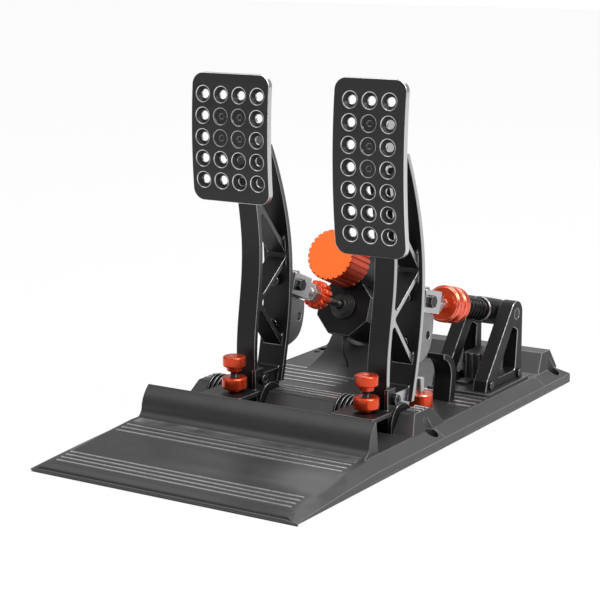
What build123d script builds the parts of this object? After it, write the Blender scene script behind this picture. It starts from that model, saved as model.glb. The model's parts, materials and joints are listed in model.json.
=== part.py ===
from build123d import *
import math

# Two sim racing pedals, brake on the left and throttle on the right, on one three-piece base.
# +X points right, +Y away from the driver and +Z up. The origin is on the floor under the
# centre of the base. All sizes are millimetres.

# Base, as wide as its pedals and as long as its linkages need
PEDAL_SPACING = 120.0
LINK_REACH = 172.8
NOTCH_LEFT = 44.0
NOTCH_RIGHT = 13.2
END_BLOCK_LEFT = 17.3
END_BLOCK_RIGHT = 18.1
RIM_RUN = 10.7
HEEL_LENGTH = 109.0
TROUGH_LENGTH = 101.7
HINGE_INSET = 15.7
DECK_MARGIN = 23.2
REAR_LENGTH = 51.0
PAD_STAND = 1.2
DECK_TOP = 15.5
RIM_WALL_TOP = 9.0
RIM_GROOVE = 1.0
PANEL_GAP = 0.2
SLOT_HEIGHT = 1.2
SLOT_DEPTH = 0.9
SLOT_LENGTH = 44.0
SLOT_RISE = 2.4
SLOT_PITCH = 67.0
SLOT_END = 3.7
HEEL_SLOTS = 2
DECK_SLOT_START = 55.0
DECK_SLOTS = 3

# Heel plate and the hump behind it
HEEL_LENGTH = 109.0
HEEL_LIP = 3.4
HEEL_MID = 10.4
HEEL_LIP_WALL = 2.4
RIB_HEIGHT = 0.6
RIB_WIDTH = 1.4
WIDE_RIB = 3.6
RIB_ROOT = 1.5
HEEL_RIB_HALF = 101.0
FRONT_RIB_START = 18.0
FRONT_RIB_PITCH = 5.4
FRONT_RIB_COUNT = 4
REAR_RIBS_AHEAD = 25.2
REAR_RIB_PITCH = 6.7
REAR_RIB_COUNT = 3
WIDE_RIB_AHEAD = 5.0
HUMP_HALF = 104.0
HUMP_HEIGHT = 24.5
HUMP_RUN = 19.0
HUMP_FOOT = 9.2
HUMP_FOOT_RISE = 9.2
HUMP_BACK = 3.0
HUMP_SAG = 2.0
HUMP_BULGE = 1.2

# Cross beams that carry the hinges, and the beam at the rear
BEAM_AHEAD = 16.2
BEAM_HEIGHT = 14.5
BEAM_FRONT_RUN = 12.4
BEAM_TOP = 24.1
BEAM_REAR_RUN = 14.5
BEAM_ROUND = 3.0
BEAM_END_RUN = 5.5
BEAM_RIB_PITCH = 5.8
BEAM_RIB_COUNT = 3
BEAM_RIB_INSET = 9.0
REAR_BEAM_SHARES = (0.157, 0.53, 0.843)
BOLT_INSET = 9.0
BOLT_BEHIND = 9.0
BOLT_REAR_SHARE = 2 / 3
BOLT_HOLE = 3.3
BOLT_WELL = 5.7
BOLT_FLOOR = 4.8

# Rubber pads under the base
PAD_RADIUS = 9.0
PAD_INSET = 30.0
PAD_RECESS = 1.0
PAD_ROWS = 3

# Pedal arms, in the arm's own frame: u points away from the driver, v points up from the hinge
HINGE_Z = 20.0
THROTTLE_LEAN = 1.2
ARM_WIDTH = 17.4
REAR_FLANGE_WIDTH = 25.0
FLANGE = 4.2
RIB = 3.6
POCKET_ROUND = 2.6
KNUCKLE_RADIUS = 13.0
AXLE_RADIUS = 5.0
RUN_FIT = 0.05
FACE_GAP = 0.3
FOOT_FRONT = 17.3
FOOT_FRONT_LOW = 14.0
FOOT_FRONT_HIGH = 38.0
HEAD_BOTTOM = 200.0
HEAD_TOP = 243.0
HEAD_DEPTH = 8.0
HEAD_WIDTH = 27.0
PIN_U = 48.0
PIN_V = 86.8
REAR_EDGE = ((18.5, 12.0), (31.1, 71.0), (32.7, 116.5), (18.2, 176.6), (4.6, 206.6))
FRONT_EDGE = ((-17.3, 38.0), (-10.2, 97.0), (-8.5, 129.0), (-12.5, 161.0), (-22.0, 190.0))
TRUSS = (((-12.0, 166.0), (30.0, 117.0)), ((31.0, 112.0), (-9.0, 82.0)), ((-9.0, 82.0), (27.0, 38.0)))
RIB_ENDS = 6.0
FOOT_TOP = 24.0
HEAD_SOLID = 198.0
FOOT_SCREW_U = -12.0
FOOT_SCREW_V = 21.0

# Pedal plates
PLATE_RADIUS = 468.0
PLATE_THICK = 5.0
PLATE_FRONT_U = -36.0
PLATE_FRONT_DROP = 31.0
PLATE_CORNER = 9.5
PLATE_PITCH = 16.6
PLATE_HOLE = 3.3
PLATE_RING = 6.3
PLATE_SCREW = 3.0
BRAKE_PLATE = (70.5, 99.0, 4, 5, 28.8)
THROTTLE_PLATE = (61.0, 132.0, 3, 7, 44.7)

# Hinge brackets
RING_RADIUS = 16.0
RING_THICK = 2.0
RING_PITCH = 4.0
RING_COUNT = 4
RING_HUB = 10.0
CHEEK = 3.2
CHEEK_GAP = 0.6
HUB_REACH = 27.0
POCKET_FLOOR = 4.0
BRACKET_BASE = 2.4

# Toe plate with its stop screw and lock nut
TOE_TOP = 14.0
TOE_THICK = 3.2
TOE_FRONT = 50.0
TOE_REAR = 20.0
TOE_LEFT = 22.0
TOE_RIGHT = 16.0
EAR = 3.0
EAR_REAR = 9.4
EAR_TOP = 30.0
STOP_U = 33.0
STOP_STEM = 3.2
NUT_RADIUS = 10.0
NUT_HUB = 5.0
NUT_HUB_HEIGHT = 2.6
NUT_HEIGHT = 9.4
KNOB_RADIUS = 9.0
KNOB_RIM = 7.0
KNOB_CONE = 6.4
KNOB_NECK = 4.6
KNOB_BOTTOM = 31.0
EDGE = 0.8

# Lug plates and arm screws
LUG_WIDTH = 8.0
LUG_HOLE = 3.4
CLEVIS_PIN = 4.0
LUG_SCREW = 2.5
LUG_SCREW_HEAD = 4.2
LUG_SCREW_DEPTH = 10.0
FOOT_SCREW = 2.5
SOCKET_HEAD = 4.4
SOCKET_HEIGHT = 3.6
SOCKET_HEX = 2.3
LUG_SCREWS = ((58.0, 29.4), (93.0, 32.4))
LUG_EDGE = ((56.5, 96.5), (64.0, 70.0), (58.0, 46.0), (38.5, 37.0))
LUG_EDGE_ENDS = ((0.3, -1), (-1, -0.2))
LUG_FRONT = 20.0
LUG_TOP = 100.0
LUG_EYE = 8.6

# Rods
CLEVIS_SIZE = 18.0
CLEVIS_BACK = 8.0
CLEVIS_FRONT = 18.4
CLEVIS_SLOT_END = 14.4
PIN_HEAD = 5.2
PIN_HEAD_HEIGHT = 4.0
BRAKE_DROP = 22.3
ROD_RADIUS = 3.5
JAM_RADIUS = 8.0
JAM_LENGTH = 9.0
NUT_START = 41.0
NUT_LENGTH = 13.0
RED_NUT = 12.0
RED_NUT_LOBES = 12
RED_NUT_NOTCH = 2.0
ROD_TIP = 117.7
BOOT_START = 84.0
BOOT_BORE_GAP = 0.9
BOOT_RADIUS = 6.2
BOOT_FOLD = 8.6
BOOT_FOLDS = 3

# Brake cylinder and chamber
HOUSING_START = 92.0
HOUSING_FLANGE = 7.0
HOUSING_END = 152.0
HOUSING_RADIUS = 24.0
HOUSING_FLAT = 25.0
HOUSING_SIDES = 8
PISTON_RADIUS = 9.0
PISTON_START = 110.0
PISTON_LENGTH = 16.0
PISTON_CUP = 5.6
BORE_END = 142.0
CHAMBER_RISE = 36.6
CHAMBER_RADIUS = 20.0
NECK_RADIUS = 18.0
NECK_START = 58.0
CHAMBER_START = 85.0
CHAMBER_BORE = 13.5
ELASTOMER_COUNT = 3
CAP_START = 53.0
CAP_LENGTH = 31.0
CAP_FACE = 4.0
CAP_RADIUS = 22.0
CAP_FLUTES = 30
CAP_FLUTE = 1.5
CAP_FLUTE_DEPTH = 1.4
BRIDGE_WIDTH = 22.0
SADDLE_FRONT = 114.0
SADDLE_WALL = 150.0
SADDLE_CROWN_SHARE = 0.26
SADDLE_TOP = 40.0
SADDLE_SHELF = 27.0
SADDLE_SHARE = 0.4
SADDLE_SLOPE = 70.0
LEAD_RADIUS = 1.1
LEAD_SIDE = 5.0
LEAD_START = 95.5
LEAD_HOLE = 6.0
LEAD_BEND_SHARE = 0.45
LEAD_ROUTE = ((124.0, 40.0), (125.6, 31.5), (130.6, 25.0), (132.6, 16.5))
DECK_RIB_COUNT = 5
DECK_RIB_SHARE = 0.1194
BRAKE_RIB_LEFT = 10.0
THROTTLE_RIB_LEFT = 18.0
DECK_RIB_END = 4.0
DECK_HOLES = ((7.3, 7.0, 5.4), (6.6, 19.4, 2.8))

# Throttle damper, spring and its stand, whose points are measured from the trunnion and the sole
TRUNNION_Z = 74.1
THROTTLE_ROD = 4.0
THROTTLE_NUT_END = 30.0
WHEEL_START = 38.5
WHEEL_LENGTH = 10.5
WHEEL_GAP = 1.6
WHEEL_RADIUS = 15.0
WHEEL_ROUND = 1.6
SPRING_RADIUS = 7.9
SPRING_WIRE = 1.05
SPRING_PITCH = 5.15
QUARTERS = 4
DAMPER_START = 22.0
DAMPER_END = 16.0
DAMPER_RADIUS = 11.0
DAMPER_BORE_GAP = 1.6
DAMPER_WALL = 3.0
TRUNNION_RADIUS = 4.5
STAND_INNER = 13.0
STAND_WIDTH = 12.0
STAND_HEAD = 11.0
SOLE_THICK = 2.8
SOLE_AHEAD = 58.8
SOLE_BEHIND = 19.2
STAND_FOOT_FRONT = -55.8
STAND_KNEE = (-53.3, 8.7)
STAND_HEEL = 13.2
STAND_ANKLE = 4.7
STAND_OPENING_LOW = ((-36.3, 8.2), (-1.3, 8.2))
STAND_OPENING_HIGH = ((2.5, -14.1), (-7.0, -9.5))
STAND_SCREWS = ((-47.3, 4.7), (4.7, 4.3))
STAND_SCREW = 2.0
STAND_SCREW_HEAD = 3.4
SOLE_EDGE = 4.0

# Rear travel stop, guide horn and connector box
REAR_STOP_U = 52.0
REAR_STOP_TOP = 42.8
REAR_STOP_STEM = 3.2
STOP_WHEEL_BOTTOM = 17.6
STOP_WHEEL_HEIGHT = 13.2
STOP_WHEEL_RADIUS = 10.0
HORN_SHARE = 0.5516
HORN_WIDTH = 16.0
HORN_OUTER = ((-9.7, 57.0), (4.8, 51.0), (11.3, 33.0))
HORN_INNER = ((2.8, 33.0), (-0.2, 47.0), (-9.7, 53.0))
BOX_AHEAD = 28.8
BOX_BEHIND = 1.2
BOX_TOP = 43.0
BOX_SIDE = 2.5
BOX_SLOT = 3.0
BOX_TONGUE = 12.0
BOX_SLOTS = 3

OVERRUN = 1.0

base_width = PEDAL_SPACING + NOTCH_LEFT + NOTCH_RIGHT + END_BLOCK_LEFT + END_BLOCK_RIGHT + 2 * RIM_RUN
deck_length = LINK_REACH - HINGE_INSET + DECK_MARGIN
base_length = HEEL_LENGTH + TROUGH_LENGTH + deck_length + REAR_LENGTH
half_width = base_width / 2
deck_half = half_width - RIM_RUN
brake_x = END_BLOCK_LEFT + NOTCH_LEFT - deck_half
throttle_x = brake_x + PEDAL_SPACING
split_x = (brake_x + throttle_x) / 2
bolt_x = half_width - BOLT_INSET
front_y = -base_length / 2
heel_rear_y = front_y + HEEL_LENGTH
seam_y = heel_rear_y + TROUGH_LENGTH
rear_seam_y = seam_y + deck_length
rear_y = rear_seam_y + REAR_LENGTH
hinge_y = seam_y - HINGE_INSET
trunnion_y = hinge_y + LINK_REACH
beam_front_y = hinge_y - BEAM_AHEAD
bolt_front_y = hinge_y + BOLT_BEHIND
stop_y = hinge_y + REAR_STOP_U
sole_front_y = trunnion_y - SOLE_AHEAD
stop_room = sole_front_y - stop_y
horn_y = stop_y + HORN_SHARE * stop_room
plate_front_v = HEAD_TOP - PLATE_FRONT_DROP
housing_corner = HOUSING_FLAT / math.cos(math.pi / HOUSING_SIDES)
pedals = {"brake": (brake_x, 0.0), "throttle": (throttle_x, THROTTLE_LEAN)}


def rear_share(share):
    """y of a place on the rear end of the base, as a share of its length."""
    return rear_seam_y + share * REAR_LENGTH


def save(piece, name):
    """Label a finished piece and write it as one STEP file."""
    piece.part.label = name
    export_step(piece.part, f"parts/{name}.step")


def arm_point(pedal, u, v, x=0.0):
    """World point of a place in an arm's frame, x to the right of the arm's middle."""
    centre_x, lean = pedals[pedal]
    lean = math.radians(lean)
    along = u * math.cos(lean) + v * math.sin(lean)
    up = v * math.cos(lean) - u * math.sin(lean)
    return Vector(centre_x + x, hinge_y + along, HINGE_Z + up)


def side_plane(pedal, x=0.0):
    """Plane whose local axes are the arm's u and v, facing right."""
    return Plane(arm_point(pedal, 0, 0, x), x_dir=arm_point(pedal, 1, 0) - arm_point(pedal, 0, 0),
                 z_dir=(1, 0, 0))


def level_plane(pedal, u, v):
    """Plane across the arm's up direction, with local x to the right."""
    return Plane(arm_point(pedal, u, v), x_dir=(1, 0, 0),
                 z_dir=arm_point(pedal, 0, 1) - arm_point(pedal, 0, 0))


def driver_plane(pedal, u, v, x=0.0, turn=0.0):
    """Plane that faces the driver, turned up or down by an angle in radians."""
    out = arm_point(pedal, -math.cos(turn), math.sin(turn)) - arm_point(pedal, 0, 0)
    return Plane(arm_point(pedal, u, v, x), x_dir=(1, 0, 0), z_dir=out)


def base_section():
    """Half of the base's cross section, right of the middle, as a list of corners."""
    return [(0, PAD_STAND), (half_width, PAD_STAND), (half_width, RIM_WALL_TOP),
            (deck_half, DECK_TOP), (deck_half, DECK_TOP - RIM_GROOVE),
            (deck_half - RIM_GROOVE, DECK_TOP - RIM_GROOVE), (deck_half - RIM_GROOVE, DECK_TOP),
            (0, DECK_TOP)]


def cross_plane(y):
    """Plane across the base at y, with local axes X and Z; it faces the driver."""
    return Plane((0, y, 0), x_dir=(1, 0, 0), z_dir=(0, -1, 0))


def heel_height(y):
    """Height of the heel plate's top, a parabola through its lip, middle and hump foot."""
    share = (y - front_y) / HEEL_LENGTH
    bend = 2 * (HEEL_LIP + DECK_TOP) - 4 * HEEL_MID
    slope = DECK_TOP - HEEL_LIP - bend
    return HEEL_LIP + slope * share + bend * share ** 2


def heel_section(y):
    """Half section of the heel plate at y, its rim as steep as the room allows."""
    top = heel_height(y)
    wall_share = (RIM_WALL_TOP - HEEL_LIP_WALL) / (DECK_TOP - HEEL_LIP)
    wall = HEEL_LIP_WALL + (top - HEEL_LIP) * wall_share
    return [(-half_width, PAD_STAND), (half_width, PAD_STAND), (half_width, wall),
            (deck_half, top), (-deck_half, top), (-half_width, wall)]


def cut_side_slots(first_y, count):
    """Cut shallow slots low in both outer walls."""
    for side in (-1, 1):
        for i in range(count):
            with BuildSketch(Plane.XY.offset(PAD_STAND + SLOT_RISE)) as slot:
                with Locations((side * half_width, first_y + i * SLOT_PITCH)):
                    Rectangle(2 * SLOT_DEPTH, SLOT_LENGTH)
            extrude(slot.sketch, amount=SLOT_HEIGHT, mode=Mode.SUBTRACT)


def cut_hinge_pockets():
    """Cut the two wells in the deck that the hinge brackets stand in."""
    for centre_x, lean in pedals.values():
        with BuildSketch(Plane.XY.offset(POCKET_FLOOR)) as well:
            with Locations((centre_x + (NOTCH_RIGHT - NOTCH_LEFT) / 2, hinge_y)):
                Rectangle(NOTCH_LEFT + NOTCH_RIGHT, 2 * (RING_RADIUS + CHEEK_GAP))
        extrude(well.sketch, amount=DECK_TOP, mode=Mode.SUBTRACT)


def cut_bolt_wells(y):
    """Cut the bolt wells and the through holes under them at both ends of a beam."""
    with BuildSketch(Plane.XY.offset(PAD_STAND + BOLT_FLOOR)) as wells:
        with Locations((-bolt_x, y), (bolt_x, y)):
            Circle(BOLT_WELL)
    extrude(wells.sketch, amount=BEAM_HEIGHT + DECK_TOP, mode=Mode.SUBTRACT)
    with BuildSketch(Plane.XY) as holes:
        with Locations((-bolt_x, y), (bolt_x, y)):
            Circle(BOLT_HOLE)
    extrude(holes.sketch, amount=DECK_TOP, mode=Mode.SUBTRACT)


def pad_places():
    """Centres of the rubber pads, in two rows along the base."""
    span = base_length - 2 * PAD_INSET
    return [(side * (half_width - PAD_INSET), front_y + PAD_INSET + i * span / (PAD_ROWS - 1))
            for side in (-1, 1) for i in range(PAD_ROWS)]


def cut_pad_recesses():
    """Cut the shallow seats of the rubber pads in the underside."""
    with BuildSketch(Plane.XY) as seats:
        with Locations(*pad_places()):
            Circle(PAD_RADIUS + PANEL_GAP)
    extrude(seats.sketch, amount=PAD_STAND + PAD_RECESS, mode=Mode.SUBTRACT)


# Heel plate, hump and the trough behind the hump
with BuildPart() as heel_plate:
    for y in (front_y, front_y + HEEL_LENGTH / 2, heel_rear_y):
        with BuildSketch(cross_plane(y)):
            with BuildLine():
                Polyline(*heel_section(y), close=True)
            make_face()
    loft()
    with BuildSketch(cross_plane(seam_y)):
        with BuildLine():
            Polyline(*base_section(), close=True)
        make_face()
        mirror(about=Plane.YZ)
    extrude(amount=seam_y - heel_rear_y)
    hump_top = (heel_rear_y + HUMP_RUN, DECK_TOP + HUMP_HEIGHT)
    hump_knee = (heel_rear_y + HUMP_FOOT, DECK_TOP + HUMP_FOOT_RISE)
    with BuildSketch(Plane.YZ.offset(-HUMP_HALF)):
        with BuildLine():
            ThreePointArc((heel_rear_y, DECK_TOP),
                          ((heel_rear_y + hump_knee[0]) / 2 + HUMP_SAG,
                           (DECK_TOP + hump_knee[1]) / 2 - HUMP_SAG), hump_knee)
            ThreePointArc(hump_knee, ((hump_knee[0] + hump_top[0]) / 2 - HUMP_BULGE,
                                      (hump_knee[1] + hump_top[1]) / 2 + HUMP_BULGE), hump_top)
            Polyline(hump_top, (hump_top[0] + HUMP_BACK, DECK_TOP), (hump_top[0], DECK_TOP - RIB_ROOT),
                     (heel_rear_y, DECK_TOP - RIB_ROOT), (heel_rear_y, DECK_TOP))
        make_face()
    extrude(amount=2 * HUMP_HALF)
    ribs = [(front_y + FRONT_RIB_START + i * FRONT_RIB_PITCH, RIB_WIDTH) for i in range(FRONT_RIB_COUNT)]
    ribs += [(heel_rear_y - REAR_RIBS_AHEAD + i * REAR_RIB_PITCH, RIB_WIDTH) for i in range(REAR_RIB_COUNT)]
    ribs += [(heel_rear_y - WIDE_RIB_AHEAD, WIDE_RIB)]
    for rib_y, rib_width in ribs:
        with BuildSketch(Plane.XY.offset(heel_height(rib_y) - RIB_ROOT)):
            with Locations((0, rib_y)):
                Rectangle(2 * HEEL_RIB_HALF, rib_width)
        extrude(amount=RIB_ROOT + RIB_HEIGHT)
    cut_hinge_pockets()
    cut_bolt_wells(bolt_front_y)
    cut_pad_recesses()
    cut_side_slots(seam_y - SLOT_END - SLOT_LENGTH / 2 - (HEEL_SLOTS - 1) * SLOT_PITCH, HEEL_SLOTS)
save(heel_plate, "heel_plate")

# Deck under each pedal's linkage, split along the base between the pedals
deck_spans = {"brake": (-half_width, split_x), "throttle": (split_x + PANEL_GAP, half_width)}


def deck_body(left, right):
    """Make one deck panel between two x places, with the rim on its outer side."""
    with BuildSketch(cross_plane(rear_seam_y - PANEL_GAP)) as section:
        with BuildLine():
            Polyline(*base_section(), close=True)
        make_face()
        mirror(about=Plane.YZ)
        with Locations(((left + right) / 2, DECK_TOP / 2)):
            Rectangle(right - left, 2 * DECK_TOP, mode=Mode.INTERSECT)
    extrude(section.sketch, amount=deck_length - 2 * PANEL_GAP)
    cut_hinge_pockets()
    cut_pad_recesses()
    cut_side_slots(seam_y + DECK_SLOT_START, DECK_SLOTS)


def rod_axis(drop):
    """Direction of a rod that falls away from its pin by a slope in degrees."""
    return Vector(0, math.cos(math.radians(drop)), -math.sin(math.radians(drop)))


def rod_plane(pin, drop, along, rise=0.0):
    """Plane across a rod at a distance from its pin, local y square to the rod and upward."""
    axis = rod_axis(drop)
    up = Vector(0, -axis.Z, axis.Y)
    return Plane(pin + axis * along + up * rise, x_dir=(-1, 0, 0), z_dir=axis)


brake_pin = arm_point("brake", PIN_U, PIN_V)
throttle_pin = arm_point("throttle", PIN_U, PIN_V)
throttle_reach = math.hypot(trunnion_y - throttle_pin.Y, throttle_pin.Z - TRUNNION_Z)
throttle_drop = math.degrees(math.atan2(throttle_pin.Z - TRUNNION_Z, trunnion_y - throttle_pin.Y))

rods = {"brake": (brake_pin, BRAKE_DROP), "throttle": (throttle_pin, throttle_drop)}


def brake_plane(along, rise=0.0):
    """Plane across the brake's rod, or across the chamber above it."""
    return rod_plane(brake_pin, BRAKE_DROP, along, rise)


def throttle_plane(along):
    """Plane across the throttle's rod."""
    return rod_plane(throttle_pin, throttle_drop, along)


# Route of the sensor lead from the cylinder's front flange down into the deck
lead_exit = brake_plane(LEAD_START, -HOUSING_FLAT + OVERRUN).origin
lead_x = brake_x + LEAD_SIDE
lead_points = [Vector(lead_x, lead_exit.Y, lead_exit.Z)]
lead_points += [Vector(lead_x, hinge_y + behind, height) for behind, height in LEAD_ROUTE]
lead_radii = []
for before, corner, after in zip(lead_points, lead_points[1:], lead_points[2:]):
    turn = math.radians((corner - before).get_angle(after - corner))
    shorter = min((corner - before).length, (after - corner).length)
    lead_radii.append(LEAD_BEND_SHARE * shorter / math.tan(turn / 2))
print("lead bend radii", [round(radius, 1) for radius in lead_radii])
lead_holes = [(lead_points[0], lead_points[1] - lead_points[0]),
              (lead_points[-1], lead_points[-1] - lead_points[-2])]


def cut_lead_holes():
    """Cut the holes that the two ends of the sensor lead sit in."""
    for end, way in lead_holes:
        with BuildSketch(Plane(end, z_dir=way)) as hole:
            Circle(LEAD_RADIUS + PANEL_GAP)
        extrude(hole.sketch, amount=LEAD_HOLE, both=True, mode=Mode.SUBTRACT)



saddle_front_y = hinge_y + SADDLE_FRONT
saddle_wall_y = hinge_y + SADDLE_WALL
saddle_crown_y = saddle_wall_y + SADDLE_CROWN_SHARE * (rear_seam_y - saddle_wall_y)
saddle_rear_y = rear_seam_y - PANEL_GAP
saddle_width = 2 * SADDLE_SHARE * PEDAL_SPACING
rib_places = [sole_front_y - RIB_WIDTH - i * DECK_RIB_SHARE * stop_room for i in range(DECK_RIB_COUNT)]


def deck_ribs(left, right):
    """Raise the row of ribs across one deck panel between two x places."""
    for rib_y in rib_places:
        with BuildSketch(Plane.XY.offset(DECK_TOP - RIB_ROOT)) as rib:
            with Locations(((left + right) / 2, rib_y)):
                Rectangle(right - left, RIB_WIDTH)
        extrude(rib.sketch, amount=RIB_ROOT + RIB_HEIGHT)


with BuildPart() as brake_deck:
    deck_body(*deck_spans["brake"])
    with BuildSketch(Plane.YZ.offset(brake_x - saddle_width / 2)):
        with BuildLine():
            ThreePointArc((saddle_front_y, DECK_TOP),
                          ((saddle_front_y + saddle_wall_y) / 2, DECK_TOP + (SADDLE_SHELF - DECK_TOP) / 3),
                          (saddle_wall_y, SADDLE_SHELF))
            Polyline((saddle_wall_y, SADDLE_SHELF), (saddle_crown_y, SADDLE_TOP),
                     (saddle_rear_y - 2 * OVERRUN, SADDLE_TOP), (saddle_rear_y, DECK_TOP),
                     (saddle_rear_y, DECK_TOP - RIB_ROOT), (saddle_front_y, DECK_TOP - RIB_ROOT),
                     (saddle_front_y, DECK_TOP))
        make_face()
    saddle = extrude(amount=saddle_width, mode=Mode.PRIVATE)
    with BuildSketch(cross_plane(rear_seam_y)):
        with Locations((brake_x, 0)):
            Trapezoid(saddle_width, SADDLE_TOP, SADDLE_SLOPE, align=(Align.CENTER, Align.MIN))
    sides = extrude(amount=rear_seam_y - saddle_front_y + OVERRUN, mode=Mode.PRIVATE)
    add(saddle & sides)
    with BuildSketch(brake_plane(0)):
        Circle(housing_corner + 2 * FACE_GAP)
    extrude(amount=HOUSING_END + CHAMBER_RISE, mode=Mode.SUBTRACT)
    deck_ribs(brake_x + BRAKE_RIB_LEFT, split_x - DECK_RIB_END)
    with BuildSketch(Plane.XY.offset(DECK_TOP)):
        for inset, ahead, hole_radius in DECK_HOLES:
            with Locations((-deck_half + inset, rear_seam_y - ahead)):
                Circle(hole_radius)
    extrude(amount=-DECK_TOP / 2, mode=Mode.SUBTRACT)
    cut_lead_holes()
save(brake_deck, "brake_deck")

with BuildPart() as throttle_deck:
    deck_body(*deck_spans["throttle"])
    deck_ribs(split_x + THROTTLE_RIB_LEFT, deck_half - DECK_RIB_END)
    with BuildSketch(Plane.XY.offset(DECK_TOP)):
        with Locations((throttle_x, stop_y)):
            Circle(REAR_STOP_STEM)
    extrude(amount=-DECK_TOP / 2, mode=Mode.SUBTRACT)
    horn_foot = HORN_OUTER[-1][0] - HORN_INNER[0][0]
    with BuildSketch(Plane.XY.offset(DECK_TOP)):
        with Locations((throttle_x, horn_y + horn_foot / 2)):
            Rectangle(HORN_WIDTH + 2 * FACE_GAP, horn_foot + 2 * FACE_GAP)
    extrude(amount=2 * RIB_HEIGHT, mode=Mode.SUBTRACT)
save(throttle_deck, "throttle_deck")

# Rear beam, one piece with the rear end of the base
beam_top_z = DECK_TOP + BEAM_HEIGHT
beam_foot_y, beam_rise_y, beam_fall_y = (rear_share(share) for share in REAR_BEAM_SHARES)


def cut_end_slope(side, start, length):
    """Slope one end of a beam down and outward to the rim, over a length ahead of a start."""
    with BuildSketch(cross_plane(start)) as wedge:
        with BuildLine() as edges:
            Polyline((side * deck_half, DECK_TOP), (side * (deck_half - BEAM_END_RUN), beam_top_z),
                     (side * (deck_half - BEAM_END_RUN), beam_top_z + OVERRUN),
                     (side * half_width, beam_top_z + OVERRUN), (side * half_width, DECK_TOP), close=True)
        make_face(edges.edges())
    extrude(wedge.sketch, amount=length, mode=Mode.SUBTRACT)


with BuildPart() as rear_beam:
    with BuildSketch(cross_plane(rear_y)):
        with BuildLine():
            Polyline(*base_section(), close=True)
        make_face()
        mirror(about=Plane.YZ)
    extrude(amount=REAR_LENGTH)
    with BuildSketch(Plane.YZ.offset(-half_width)):
        with BuildLine():
            Polyline((rear_y - RIM_RUN, DECK_TOP), (rear_y, RIM_WALL_TOP), (rear_y, DECK_TOP), close=True)
        make_face()
    extrude(amount=base_width, mode=Mode.SUBTRACT)
    with BuildSketch(Plane.YZ.offset(-deck_half)):
        with BuildLine():
            Polyline((beam_foot_y, DECK_TOP - RIB_ROOT), (beam_foot_y, DECK_TOP),
                     (beam_rise_y, beam_top_z), (beam_fall_y, beam_top_z),
                     (rear_y - RIM_RUN + BEAM_END_RUN, DECK_TOP - RIB_ROOT), close=True)
        make_face()
    extrude(amount=2 * deck_half)
    for side in (-1, 1):
        cut_end_slope(side, rear_y, REAR_LENGTH)
    cut_bolt_wells(rear_share(BOLT_REAR_SHARE))
    cut_pad_recesses()
    cut_side_slots(seam_y + DECK_SLOT_START, DECK_SLOTS)
save(rear_beam, "rear_beam")

# Front beam, three blocks with a notch for each pedal's hinge between them
block_spans = {
    "front_block_left": (-deck_half, brake_x - NOTCH_LEFT),
    "front_block_middle": (brake_x + NOTCH_RIGHT, throttle_x - NOTCH_LEFT),
    "front_block_right": (throttle_x + NOTCH_RIGHT, deck_half),
}
for block_name, (left, right) in block_spans.items():
    with BuildPart() as block:
        with BuildSketch(Plane.YZ.offset(left)):
            with BuildLine():
                Polyline((beam_front_y, DECK_TOP), (beam_front_y + BEAM_FRONT_RUN, beam_top_z),
                         (beam_front_y + BEAM_FRONT_RUN + BEAM_TOP, beam_top_z),
                         (beam_front_y + BEAM_FRONT_RUN + BEAM_TOP + BEAM_REAR_RUN, DECK_TOP), close=True)
            make_face()
        extrude(amount=right - left)
        fillet(block.edges().filter_by(Axis.X).group_by(Axis.Z)[-1], radius=BEAM_ROUND)
        for i in range(BEAM_RIB_COUNT):
            rib_left = left + (BEAM_RIB_INSET if left == -deck_half else RIB_WIDTH)
            rib_right = right - (BEAM_RIB_INSET if right == deck_half else RIB_WIDTH)
            rib_y = beam_front_y + BEAM_FRONT_RUN + BEAM_TOP - RIB_ROOT - RIB_WIDTH - i * BEAM_RIB_PITCH
            with BuildSketch(Plane.XY.offset(beam_top_z - RIB_ROOT)):
                with Locations(((rib_left + rib_right) / 2, rib_y - RIB_WIDTH)):
                    Rectangle(rib_right - rib_left, RIB_WIDTH)
            extrude(amount=RIB_ROOT + RIB_HEIGHT)
        for side, outer in ((-1, left), (1, right)):
            if abs(outer) == deck_half:
                cut_end_slope(side, rear_y, base_length)
        cut_bolt_wells(bolt_front_y)
    save(block, block_name)

# Rubber pads under the base
with BuildPart() as foot_pads:
    with BuildSketch(Plane.XY):
        with Locations(*pad_places()):
            Circle(PAD_RADIUS)
    extrude(amount=PAD_STAND + PAD_RECESS)
save(foot_pads, "foot_pads")

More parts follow.
